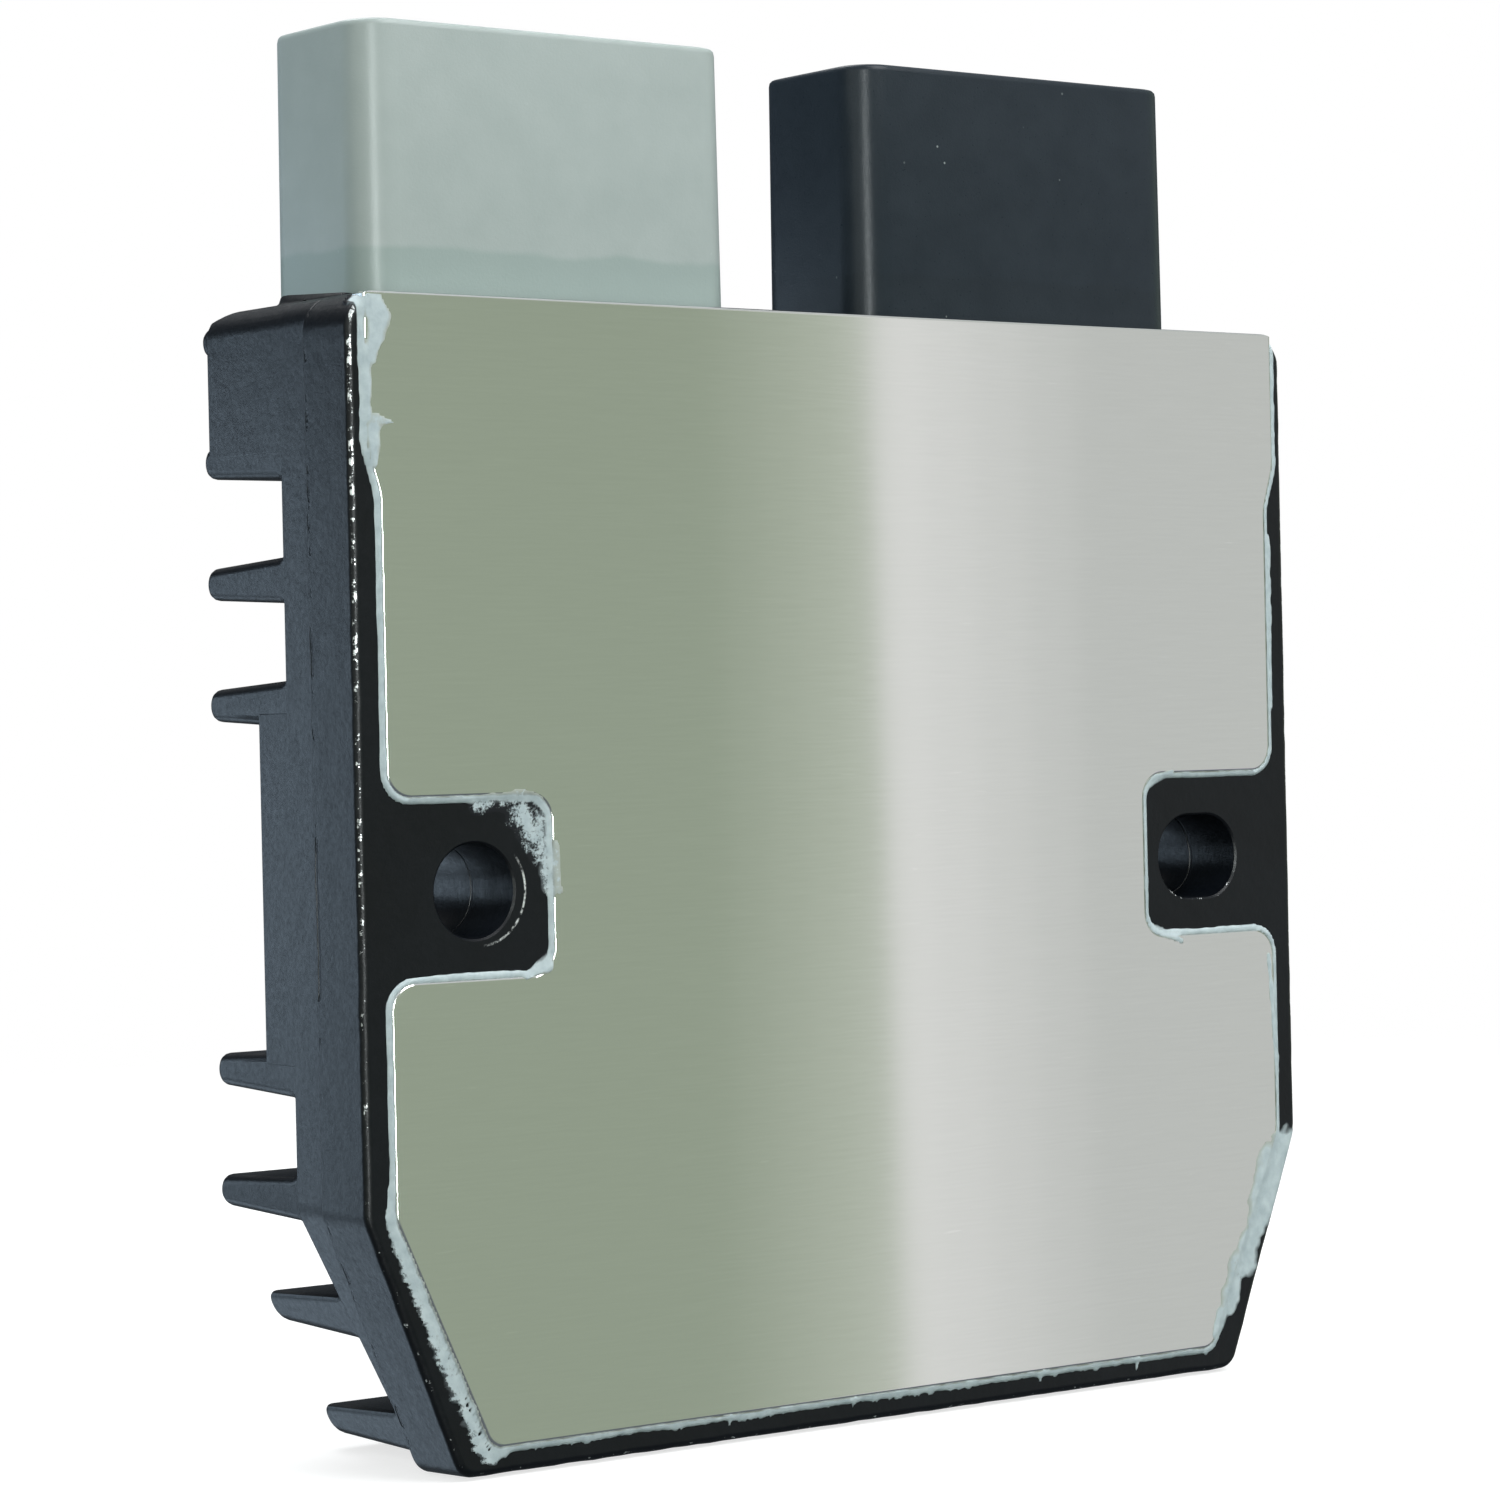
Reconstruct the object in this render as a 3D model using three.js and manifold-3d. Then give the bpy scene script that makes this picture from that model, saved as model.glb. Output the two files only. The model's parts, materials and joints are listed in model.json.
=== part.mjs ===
// Voltage regulator-rectifier with a finned cast housing, a glued base plate and two plug connectors.
// Millimetres. +X right and +Z up when looking at the base plate, +Y back into the fins.
// The origin is on the base plate's outer face, midway between the two mounting holes' heights.
import * as THREE from 'three';
import { mergeVertices } from 'three/addons/utils/BufferGeometryUtils.js';
import Module from 'manifold-3d';

const wasm = await Module();
wasm.setup();

// ---- driving dimensions: housing ----
const BODY_WIDTH = 92;
const BODY_TOP = 42.7;
const BODY_BOTTOM = -42.2;
const BOTTOM_WIDTH = 76.6; // between the two lower chamfers
const CHAMFER_Z = -23; // where the sides turn in
const TOP_RADIUS = 2.6;
const RIM_Y = 0.2; // the cast rim sits just behind the plate's face
const FLANGE_Y = 6; // the front flange ends here
const REAR_INSET = 0.5; // the rear of the housing is this much smaller all round
const REAR_BOTTOM_WIDTH = 72; // behind the flange the chamfers turn in further
const WEB_Y = 10; // back of the heat sink's floor
const CAVITY_Y = 8.3; // inner face of the heat sink's floor
const LEDGE_Y = 1.8; // step that carries the base plate
const LEDGE_WIDTH = 2;

// ---- driving dimensions: fins and bosses ----
const FIN_COUNT = 10;
const FIN_TOP_Z = 40.5;
const FIN_PITCH = 8.93;
const FIN_TIP_Y = 20.7;
const FIN_ROOT_HALF = 1.7;
const FIN_TIP_HALF = 1.15;
const BOSS_Y = 13.9;
const BOSS_INNER_X = 28;
const BOSS_TOP_Z = 13.2;
const BOSS_BOTTOM_Z = -12.6;
const BOSS_RADIUS = 5;
const HOLE_X = 36;
const HOLE_RADIUS = 3.45;
const SLOT_X = 35.2;
const SLOT_LENGTH = 8.5;
const SLOT_HEIGHT = 6.75;

// ---- driving dimensions: connector header ----
const HEADER_Y = 19.7;
const HEADER_SLOPE = { startY: 17.6, drop: 1.3 }; // the top slopes down from here to the fin tips
const HEADER_BOTTOM_Z = 31.57; // level with the second fin
const HEADER_FLOOR_Z = 33.2;
const HEADER_CEILING_Z = 40.3;
const HEADER_INNER_X = 43.7;
const HEADER_INNER_Y = 17.5;

// ---- driving dimensions: base plate and its sealant ----
const PLATE_THICKNESS = 1.5;
const PLATE_TOP_X = 44.5;
const PLATE_SIDE_X = 43.4;
const PLATE_BOTTOM_X = 35.6;
const PLATE_BOTTOM_Z = -40;
const PLATE_STEP_Z = [28.3, 31.8]; // the side widens between these heights
const POCKET_X = 29.2;
const POCKET_Z = [-6.3, 6.8];
const POCKET_RADIUS = 2;
const GROOVE_WIDTH = 0.8; // sealant groove round the plate
const SEAL_GAP = 0.15;

// ---- driving dimensions: connectors ----
const AC_X = [-42.7, -9.4];
const DC_X = [3.1, 36.1];
const SHROUD_Y = [2.3, 15.8];
const SHROUD_TOP_Z = 62.5;
const SHROUD_FLOOR_Z = [38.4, 41];
const SHROUD_WALL = 1.6;
const SHROUD_RADIUS = 3;
const LIP_SIZE = 0.7; // lip that holds the shroud under the header's top wall
const LIP_Z = [37.6, 40];
const FIT_GAP = 0.3;
const LOCK_RAMP = { width: 8, height: 5, depth: 1.3, top: 57 };

// ---- driving dimensions: terminals ----
const AC_BLADES = { count: 3, pitch: 9.6, width: 6.3 };
const DC_BLADES = { count: 4, pitch: 7, width: 5 };
const BLADE_THICKNESS = 0.8;
const BLADE_TIP_Z = 56;
const BLADE_TIP_TAPER = 1.6;
const JOG_Z = 34.7;
const FOOT_BOTTOM_Z = 26.5;
const FOOT_Y = 5.6;

// ---- driving dimensions: inside the cavity ----
const BOARD_Y = [6.5, 7.9];
const PART_BACK_Y = 6.4; // everything soldered to the boards ends here
const FILM_Y = [8, 8.2];
const FILM_MARGIN = 0.4; // the film shows this much round the power board
const PART_GAP = 0.25; // between the potting and what it surrounds
const POTTING_FRONT_Y = 1.8;
const POTTING_TOP_Z = 32.6;
const POTTING_HEADER_TOP_Z = 37.3;
const NECK_INSET = 3; // where the potting passes from the cavity up into the header

const ARC_STEPS = 3; // half the segments of a rounded corner
const INNER_ARC_STEPS = 1; // the same, for pieces inside the housing
const HOLE_STEPS = 12;
const OVERLAP = 0.5; // how far a cut or a joined piece runs into its neighbour

// ---- colours ----
const CAST_BLACK = { color: 0x2b3036, roughness: 0.55, metalness: 0.2 };
const BRUSHED = { color: 0xb2b5ae, roughness: 0.35, metalness: 1 };
const SEALANT = { color: 0xc5d0cc, roughness: 0.7, metalness: 0 };
const GREY_PLASTIC = { color: 0xa3afac, roughness: 0.6, metalness: 0 };
const BLACK_PLASTIC = { color: 0x22282c, roughness: 0.5, metalness: 0 };
const TINNED = { color: 0xc9c9c4, roughness: 0.3, metalness: 1 };
const COPPER = { color: 0xb87346, roughness: 0.35, metalness: 1 };
const FILM = { color: 0xc98a4b, roughness: 0.4, metalness: 0 };
const POWER_WHITE = { color: 0xdedfd8, roughness: 0.5, metalness: 0 };
const BOARD_GREEN = { color: 0x1f5a34, roughness: 0.5, metalness: 0 };
const RESIN = { color: 0x16181a, roughness: 0.45, metalness: 0 };
const POTTING = { color: 0x3a3c3d, roughness: 0.4, metalness: 0 };
const TANTALUM = { color: 0xc79a2e, roughness: 0.5, metalness: 0 };

const regulator = new THREE.Group();

// ---- solids ----
function toSolid(geometry) {
  geometry.deleteAttribute('normal');
  geometry.deleteAttribute('uv');
  const merged = mergeVertices(geometry, 1e-5);
  return new wasm.Manifold(new wasm.Mesh({
    numProp: 3,
    vertProperties: new Float32Array(merged.attributes.position.array),
    triVerts: new Uint32Array(merged.index.array),
  }));
}

function toGeometry(solid) {
  const mesh = solid.getMesh();
  const geometry = new THREE.BufferGeometry();
  geometry.setAttribute('position', new THREE.BufferAttribute(mesh.vertProperties, 3));
  geometry.setIndex(new THREE.BufferAttribute(mesh.triVerts, 1));
  geometry.computeVertexNormals();
  return geometry;
}

function addPart(name, solid, look) {
  const mesh = new THREE.Mesh(toGeometry(solid), new THREE.MeshStandardMaterial(look));
  mesh.name = name;
  regulator.add(mesh);
}

function block([x0, x1], [y0, y1], [z0, z1]) {
  const geometry = new THREE.BoxGeometry(x1 - x0, y1 - y0, z1 - z0);
  geometry.translate((x0 + x1) / 2, (y0 + y1) / 2, (z0 + z1) / 2);
  return toSolid(geometry);
}

function extruded(shape, length, steps) {
  return new THREE.ExtrudeGeometry(shape, { depth: length, bevelEnabled: false, curveSegments: steps });
}

// A front-view outline, x right and z up, made solid from y0 back to y1.
function slab(shape, [y0, y1], steps = ARC_STEPS) {
  const geometry = extruded(shape, y1 - y0, steps);
  geometry.rotateX(Math.PI / 2);
  geometry.translate(0, y1, 0);
  return toSolid(geometry);
}

// A side-view profile, y right and z up, made solid from x0 to x1.
function bar(shape, [x0, x1]) {
  const geometry = extruded(shape, x1 - x0, ARC_STEPS);
  geometry.applyMatrix4(new THREE.Matrix4().set(0, 0, 1, x0, 1, 0, 0, 0, 0, 1, 0, 0, 0, 0, 0, 1));
  return toSolid(geometry);
}

// A top-view outline, x right and y back, made solid from z0 up to z1.
function column(shape, [z0, z1]) {
  const geometry = extruded(shape, z1 - z0, ARC_STEPS);
  geometry.translate(0, 0, z0);
  return toSolid(geometry);
}

// ---- outlines: corners run anticlockwise as {x, y, r} ----
function corner(x, y, r = 0) {
  return { x, y, r };
}

function mirrored(rightHalf) {
  const leftHalf = rightHalf.map(({ x, y, r }) => corner(-x, y, r)).reverse();
  return [...rightHalf, ...leftHalf];
}

function turn(before, at, after) {
  return (at.x - before.x) * (after.y - at.y) - (at.y - before.y) * (after.x - at.x);
}

// The outline moved outwards by distance, or inwards if it is negative, with its arcs kept concentric.
function offset(corners, distance) {
  const count = corners.length;
  return corners.map((at, i) => {
    const before = corners[(i + count - 1) % count];
    const after = corners[(i + 1) % count];
    const into = new THREE.Vector2(at.x - before.x, at.y - before.y).normalize();
    const out = new THREE.Vector2(after.x - at.x, after.y - at.y).normalize();
    const miter = distance / (1 + into.dot(out));
    const grown = at.r + (turn(before, at, after) > 0 ? distance : -distance);
    const radius = at.r ? Math.max(0, grown) : 0;
    return corner(at.x + (into.y + out.y) * miter, at.y - (into.x + out.x) * miter, radius);
  });
}

function outline(corners) {
  const shape = new THREE.Shape();
  const count = corners.length;
  corners.forEach((at, i) => {
    const before = corners[(i + count - 1) % count];
    const after = corners[(i + 1) % count];
    const draw = i === 0 ? 'moveTo' : 'lineTo';
    if (!at.r) {
      shape[draw](at.x, at.y);
      return;
    }
    const back = new THREE.Vector2(before.x - at.x, before.y - at.y).normalize();
    const on = new THREE.Vector2(after.x - at.x, after.y - at.y).normalize();
    const half = Math.acos(back.dot(on)) / 2;
    const reach = at.r / Math.tan(half);
    const middle = back.clone().add(on).normalize().multiplyScalar(at.r / Math.sin(half));
    const centre = new THREE.Vector2(at.x + middle.x, at.y + middle.y);
    const start = new THREE.Vector2(at.x + back.x * reach, at.y + back.y * reach);
    const end = new THREE.Vector2(at.x + on.x * reach, at.y + on.y * reach);
    const from = Math.atan2(start.y - centre.y, start.x - centre.x);
    const to = Math.atan2(end.y - centre.y, end.x - centre.x);
    shape[draw](start.x, start.y);
    shape.absarc(centre.x, centre.y, at.r, from, to, turn(before, at, after) < 0);
  });
  shape.closePath();
  return shape;
}

function rectangle([x0, x1], [y0, y1], r = 0) {
  return [corner(x0, y0, r), corner(x1, y0, r), corner(x1, y1, r), corner(x0, y1, r)];
}

function bodyCorners(top, bottomWidth = BOTTOM_WIDTH) {
  return mirrored([
    corner(bottomWidth / 2, BODY_BOTTOM, 2),
    corner(BODY_WIDTH / 2, CHAMFER_Z, 4),
    corner(BODY_WIDTH / 2, top, TOP_RADIUS),
  ]);
}

// The plate's outline, with the notches that leave the two mounting ears bare.
function plateCorners(top) {
  return mirrored([
    corner(PLATE_BOTTOM_X, PLATE_BOTTOM_Z, 1.5),
    corner(PLATE_SIDE_X, CHAMFER_Z, 3),
    corner(PLATE_SIDE_X, POCKET_Z[0], POCKET_RADIUS),
    corner(POCKET_X, POCKET_Z[0], POCKET_RADIUS),
    corner(POCKET_X, POCKET_Z[1], POCKET_RADIUS),
    corner(PLATE_SIDE_X, POCKET_Z[1], POCKET_RADIUS),
    corner(PLATE_SIDE_X, PLATE_STEP_Z[0], 4),
    corner(PLATE_TOP_X, PLATE_STEP_Z[1], 4),
    corner(PLATE_TOP_X, top),
  ]);
}

// ---- housing ----
function fin(z) {
  const tip = FIN_TIP_Y - FIN_TIP_HALF;
  const profile = new THREE.Shape();
  profile.moveTo(WEB_Y - 1, z - FIN_ROOT_HALF);
  profile.lineTo(tip, z - FIN_TIP_HALF);
  profile.absarc(tip, z, FIN_TIP_HALF, -Math.PI / 2, Math.PI / 2);
  profile.lineTo(WEB_Y - 1, z + FIN_ROOT_HALF);
  return bar(profile, [-BODY_WIDTH / 2, BODY_WIDTH / 2]);
}

// The mounting boss on one side, and the room for a bolt head behind it.
function boss(side) {
  const edge = BODY_WIDTH / 2;
  const corners = [
    corner(BOSS_INNER_X, BOSS_BOTTOM_Z, BOSS_RADIUS),
    corner(edge, BOSS_BOTTOM_Z),
    corner(edge, BOSS_TOP_Z),
    corner(BOSS_INNER_X, BOSS_TOP_Z, BOSS_RADIUS),
  ];
  const placed = side > 0 ? corners : corners.map(({ x, y, r }) => corner(-x, y, r)).reverse();
  const shape = outline(placed);
  return { pad: slab(shape, [CAVITY_Y, BOSS_Y]), room: slab(shape, [BOSS_Y, FIN_TIP_Y + 1]) };
}

function roundHole() {
  const circle = new THREE.Shape();
  circle.absarc(-HOLE_X, 0, HOLE_RADIUS, 0, 2 * Math.PI);
  return slab(circle, [-1, BOSS_Y + 1], HOLE_STEPS);
}

function slottedHole() {
  const reach = SLOT_LENGTH / 2;
  const half = SLOT_HEIGHT / 2;
  const corners = rectangle([SLOT_X - reach, SLOT_X + reach], [-half, half], half * 0.96);
  return slab(outline(corners), [-1, BOSS_Y + 1], HOLE_STEPS / 2);
}

// The slot in the header's top wall that a shroud slides into from the front.
function shroudSlot([x0, x1]) {
  const r = SHROUD_RADIUS + FIT_GAP;
  const back = SHROUD_Y[1] + FIT_GAP;
  const corners = [
    corner(x0 - FIT_GAP, RIM_Y),
    corner(x1 + FIT_GAP, RIM_Y),
    corner(x1 + FIT_GAP, back, r),
    corner(x0 - FIT_GAP, back, r),
  ];
  return column(outline(corners), [HEADER_CEILING_Z - 1, BODY_TOP + 1]);
}

// What is cut away above the header's sloping rear edge.
function aboveSlope() {
  const { startY, drop } = HEADER_SLOPE;
  const profile = new THREE.Shape();
  profile.moveTo(startY, BODY_TOP);
  profile.lineTo(FIN_TIP_Y + 1, BODY_TOP - drop * (FIN_TIP_Y + 1 - startY) / (FIN_TIP_Y - startY));
  profile.lineTo(FIN_TIP_Y + 1, BODY_TOP + 1);
  profile.lineTo(startY, BODY_TOP + 1);
  return bar(profile, [-BODY_WIDTH / 2 - 1, BODY_WIDTH / 2 + 1]);
}

function housing() {
  const fins = Array.from({ length: FIN_COUNT }, (_, i) => fin(FIN_TOP_Z - i * FIN_PITCH));
  const bosses = [boss(-1), boss(1)];
  const across = [-BODY_WIDTH / 2, BODY_WIDTH / 2];
  const web = block(across, [RIM_Y + 1, WEB_Y], [BODY_BOTTOM, BODY_TOP]);
  const header = block(across, [CAVITY_Y, HEADER_Y], [HEADER_BOTTOM_Z, BODY_TOP]);
  const allFins = fins.reduce((all, one) => all.add(one));
  const keptFins = bosses.reduce((left, { room }) => left.subtract(room), allFins);
  const rear = bosses.reduce((all, { pad }) => all.add(pad), web.add(header).add(keptFins));
  const rearCorners = offset(bodyCorners(BODY_TOP + REAR_INSET, REAR_BOTTOM_WIDTH), -REAR_INSET);
  const rearLimit = slab(outline(rearCorners), [RIM_Y + 1, FIN_TIP_Y + 1]);
  const flange = slab(outline(bodyCorners(BODY_TOP)), [RIM_Y, FLANGE_Y]);
  const recess = slab(outline(offset(plateCorners(BODY_TOP + 2), GROOVE_WIDTH)), [RIM_Y - 1, LEDGE_Y]);
  const cavityCorners = offset(plateCorners(HEADER_CEILING_Z + LEDGE_WIDTH), -LEDGE_WIDTH);
  const cavity = slab(outline(cavityCorners), [LEDGE_Y - OVERLAP, CAVITY_Y]);
  const headerWide = [-HEADER_INNER_X, HEADER_INNER_X];
  const headerTall = [HEADER_FLOOR_Z, HEADER_CEILING_Z];
  const headerRoom = block(headerWide, [LEDGE_Y - OVERLAP, HEADER_INNER_Y], headerTall);
  const openings = [shroudSlot(AC_X), shroudSlot(DC_X), roundHole(), slottedHole()];
  const cuts = [recess, cavity, headerRoom, aboveSlope(), ...openings];
  return cuts.reduce((left, cut) => left.subtract(cut), rear.intersect(rearLimit).add(flange));
}

// ---- plate and sealant ----
function basePlate() {
  const plate = slab(outline(plateCorners(BODY_TOP)), [0, PLATE_THICKNESS]);
  const limit = slab(outline(bodyCorners(BODY_TOP)), [-1, PLATE_THICKNESS + 1]);
  return plate.intersect(limit);
}

function plateSealant() {
  const depth = [RIM_Y, LEDGE_Y - SEAL_GAP];
  const outer = slab(outline(offset(plateCorners(BODY_TOP + 2), GROOVE_WIDTH - SEAL_GAP)), depth);
  const inner = slab(outline(offset(plateCorners(BODY_TOP + 2), SEAL_GAP)), [depth[0] - 1, depth[1] + 1]);
  const limit = slab(outline(bodyCorners(BODY_TOP)), [depth[0] - 1, depth[1] + 1]);
  return outer.subtract(inner).intersect(limit);
}

// ---- connectors ----
function bladeCentres([x0, x1], { count, pitch }) {
  const middle = (x0 + x1) / 2;
  return Array.from({ length: count }, (_, i) => middle + (i - (count - 1) / 2) * pitch);
}

const BLADE_MIDDLE_Y = (SHROUD_Y[0] + SHROUD_Y[1]) / 2;
const BLADE_Y = [BLADE_MIDDLE_Y - BLADE_THICKNESS / 2, BLADE_MIDDLE_Y + BLADE_THICKNESS / 2];

function spread([low, high], by) {
  return [low - by, high + by];
}

function shroud(range, blades) {
  const outer = rectangle(range, SHROUD_Y, SHROUD_RADIUS);
  const lip = rectangle(spread(range, LIP_SIZE), [SHROUD_Y[0], SHROUD_Y[1] + LIP_SIZE], 1);
  const tube = column(outline(outer), [LIP_Z[0], SHROUD_TOP_Z]);
  const mouth = column(outline(offset(outer, -SHROUD_WALL)), [SHROUD_FLOOR_Z[1], SHROUD_TOP_Z + 1]);
  const ramp = new THREE.Shape();
  ramp.moveTo(SHROUD_Y[1] - 1, LOCK_RAMP.top);
  ramp.lineTo(SHROUD_Y[1] - 1, LOCK_RAMP.top - LOCK_RAMP.height);
  ramp.lineTo(SHROUD_Y[1] + LOCK_RAMP.depth, LOCK_RAMP.top - LOCK_RAMP.height);
  ramp.lineTo(SHROUD_Y[1], LOCK_RAMP.top);
  const middle = (range[0] + range[1]) / 2;
  const wedge = bar(ramp, [middle - LOCK_RAMP.width / 2, middle + LOCK_RAMP.width / 2]);
  const floor = [LIP_Z[0] - 1, SHROUD_FLOOR_Z[1] + 1];
  const slots = bladeCentres(range, blades).map((x) =>
    block(spread([x, x], blades.width / 2 + FIT_GAP), spread(BLADE_Y, FIT_GAP), floor));
  const body = tube.add(column(outline(lip), LIP_Z)).add(wedge).subtract(mouth);
  return slots.reduce((left, slot) => left.subtract(slot), body);
}

function terminal(x, width) {
  const [front, back] = BLADE_Y;
  const shoulder = BLADE_THICKNESS * 0.3;
  const profile = new THREE.Shape();
  profile.moveTo(back, JOG_Z);
  profile.lineTo(back, BLADE_TIP_Z - BLADE_TIP_TAPER);
  profile.lineTo(back - shoulder, BLADE_TIP_Z);
  profile.lineTo(front + shoulder, BLADE_TIP_Z);
  profile.lineTo(front, BLADE_TIP_Z - BLADE_TIP_TAPER);
  profile.lineTo(front, JOG_Z + BLADE_THICKNESS);
  profile.lineTo(FOOT_Y, JOG_Z + BLADE_THICKNESS);
  profile.lineTo(FOOT_Y, FOOT_BOTTOM_Z);
  profile.lineTo(FOOT_Y + BLADE_THICKNESS, FOOT_BOTTOM_Z);
  profile.lineTo(FOOT_Y + BLADE_THICKNESS, JOG_Z);
  return bar(profile, spread([x, x], width / 2));
}

// The space in the potting that a terminal passes through.
function terminalRoom(x, width) {
  const across = spread([x, x], width / 2 + PART_GAP);
  const top = JOG_Z + BLADE_THICKNESS + PART_GAP;
  const footY = spread([FOOT_Y, FOOT_Y + BLADE_THICKNESS], PART_GAP);
  const foot = block(across, footY, [FOOT_BOTTOM_Z - PART_GAP, top]);
  const jog = block(across, [FOOT_Y - PART_GAP, BLADE_Y[1] + PART_GAP], [JOG_Z - PART_GAP, top]);
  const blade = block(across, spread(BLADE_Y, PART_GAP), [JOG_Z - PART_GAP, POTTING_HEADER_TOP_Z + 1]);
  return foot.add(jog).add(blade);
}

// ---- parts on the boards: centre x and z, size across, up and out from the board ----
function boardPart(x, z, width, height, depth) {
  return block(spread([x, x], width / 2), [PART_BACK_Y - depth, PART_BACK_Y], spread([z, z], height / 2));
}

const LINK = { z: -15.5, width: 1, height: 5.4, depth: 1.6, foot: 1, lift: 0.6 };
const MOSFET = { width: 10, height: 9, depth: 4, tab: 1.4, tabDepth: 1.3 };
const MOSFET_LEAD = { length: 4, width: 0.9, pitch: 2.54 };
const CHIP_LEG = { count: 7, pitch: 1.27, width: 0.45, span: 6, depth: 0.5 };
const CHIP = { width: 8.7, height: 3.9, depth: 1.6 };

function mosfet(x, z) {
  const { width, height, depth, tab, tabDepth } = MOSFET;
  const lead = MOSFET_LEAD;
  const tabPlate = boardPart(x, z + (height + tab - OVERLAP) / 2, width, tab + OVERLAP, tabDepth);
  const leadZ = z - (height + lead.length - OVERLAP) / 2;
  const leads = [-lead.pitch, lead.pitch].map((dx) =>
    boardPart(x + dx, leadZ, lead.width, lead.length + OVERLAP, lead.width));
  return leads.reduce((all, one) => all.add(one), boardPart(x, z, width, height, depth).add(tabPlate));
}

function chip(x, z) {
  const { width, height, depth } = CHIP;
  const leg = CHIP_LEG;
  const legX = (i) => x + (i - (leg.count - 1) / 2) * leg.pitch;
  return Array.from({ length: leg.count }, (_, i) => boardPart(legX(i), z, leg.width, leg.span, leg.depth))
    .reduce((all, leg) => all.add(leg), boardPart(x, z, width, height, depth));
}

// A stamped bridge with a foot on each board.
function link(x) {
  const { z, width, height, depth, foot, lift } = LINK;
  const under = boardPart(x, z, 2 * width, height - 2 * foot, lift + OVERLAP).translate([0, OVERLAP, 0]);
  return boardPart(x, z, width, height, depth).subtract(under);
}

const powerCorners = mirrored([
  corner(25.5, -14.6, 1),
  corner(25.5, 9.8, 1),
  corner(39.6, 9.8, 1),
  corner(39.6, 30.4, 1),
]);
const controlCorners = mirrored([
  corner(31.4, -36.6, 1),
  corner(36.8, -25, 1),
  corner(36.8, -16, 1),
]);

function potting(rooms) {
  const depth = [POTTING_FRONT_Y, PART_BACK_Y];
  const inset = -LEDGE_WIDTH - FIT_GAP;
  const fill = slab(outline(offset(plateCorners(POTTING_TOP_Z - inset), inset)), depth, INNER_ARC_STEPS);
  const header = block(spread([-HEADER_INNER_X, HEADER_INNER_X], -FIT_GAP),
    [POTTING_FRONT_Y, HEADER_INNER_Y - FIT_GAP], [HEADER_FLOOR_Z + FIT_GAP, POTTING_HEADER_TOP_Z]);
  const neckWide = spread([-HEADER_INNER_X, HEADER_INNER_X], -NECK_INSET);
  const neck = block(neckWide, depth, [POTTING_TOP_Z - OVERLAP, HEADER_FLOOR_Z + OVERLAP + FIT_GAP]);
  return rooms.reduce((left, room) => left.subtract(room), fill.add(header).add(neck));
}

// ---- assembly ----
addPart('heatsink_housing', housing(), CAST_BLACK);
addPart('base_plate', basePlate(), BRUSHED);
addPart('plate_sealant', plateSealant(), SEALANT);
addPart('ac_connector_shroud', shroud(AC_X, AC_BLADES), GREY_PLASTIC);
addPart('dc_connector_shroud', shroud(DC_X, DC_BLADES), BLACK_PLASTIC);

const rooms = [];
[['ac_terminal', AC_X, AC_BLADES], ['dc_terminal', DC_X, DC_BLADES]].forEach(([name, range, blades]) => {
  bladeCentres(range, blades).forEach((x, i) => {
    addPart(`${name}_${i + 1}`, terminal(x, blades.width), TINNED);
    rooms.push(terminalRoom(x, blades.width));
  });
});

addPart('thermal_film', slab(outline(offset(powerCorners, FILM_MARGIN)), FILM_Y, INNER_ARC_STEPS), FILM);
addPart('power_board', slab(outline(powerCorners), BOARD_Y, INNER_ARC_STEPS), POWER_WHITE);
addPart('control_board', slab(outline(controlCorners), BOARD_Y, INNER_ARC_STEPS), BOARD_GREEN);

// Leaves room in the potting round a block of the given size on a board.
function addBoardPart(name, solid, look, [x, z, width, height, depth]) {
  addPart(name, solid, look);
  const room = boardPart(x, z, width + 2 * PART_GAP, height + 2 * PART_GAP, depth + PART_GAP);
  rooms.push(room.add(room.translate([0, 1, 0])));
}

const MOSFET_COLUMNS = [-17, 0, 17];
const MOSFET_ROWS = [16.4, -1.6];
MOSFET_ROWS.forEach((z, row) => {
  MOSFET_COLUMNS.forEach((x, i) => {
    const { width, height, depth, tab } = MOSFET;
    const lead = MOSFET_LEAD.length;
    const box = [x, z + (tab - lead) / 2, width, height + tab + lead, depth];
    addBoardPart(`mosfet_${row * MOSFET_COLUMNS.length + i + 1}`, mosfet(x, z), RESIN, box);
  });
});

const PLAIN_PARTS = [
  ['dc_positive_busbar', COPPER, [2, 24.6, 62, 1.8, 1.2]],
  ['dc_negative_busbar', COPPER, [0, -11.4, 46, 1.8, 1.2]],
  ['current_shunt', COPPER, [32, 15.5, 3.2, 6.4, 0.9]],
  ['surge_suppressor', RESIN, [-32, 17, 6, 8, 2.4]],
  ['smoothing_capacitor_1', TANTALUM, [-28, -24, 4.3, 7.3, 2.9]],
  ['smoothing_capacitor_2', TANTALUM, [-21, -24, 4.3, 7.3, 2.9]],
  ['driver_transistor_1', RESIN, [14, -23, 2.9, 2.4, 1.1]],
  ['driver_transistor_2', RESIN, [20, -23, 2.9, 2.4, 1.1]],
  ['driver_transistor_3', RESIN, [26, -23, 2.9, 2.4, 1.1]],
  ['gate_resistor_1', RESIN, [14, -30, 3.2, 1.6, 0.6]],
  ['gate_resistor_2', RESIN, [20, -30, 3.2, 1.6, 0.6]],
  ['gate_resistor_3', RESIN, [26, -30, 3.2, 1.6, 0.6]],
];
PLAIN_PARTS.forEach(([name, look, box]) => addBoardPart(name, boardPart(...box), look, box));
addBoardPart('control_ic', chip(0, -27), RESIN, [0, -27, CHIP.width, CHIP_LEG.span, CHIP.depth]);
[-12, -6, 6, 12].forEach((x, i) => {
  addBoardPart(`board_link_${i + 1}`, link(x), TINNED, [x, LINK.z, LINK.width, LINK.height, LINK.depth]);
});
addPart('potting_compound', potting(rooms), POTTING);

export default regulator;
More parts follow.
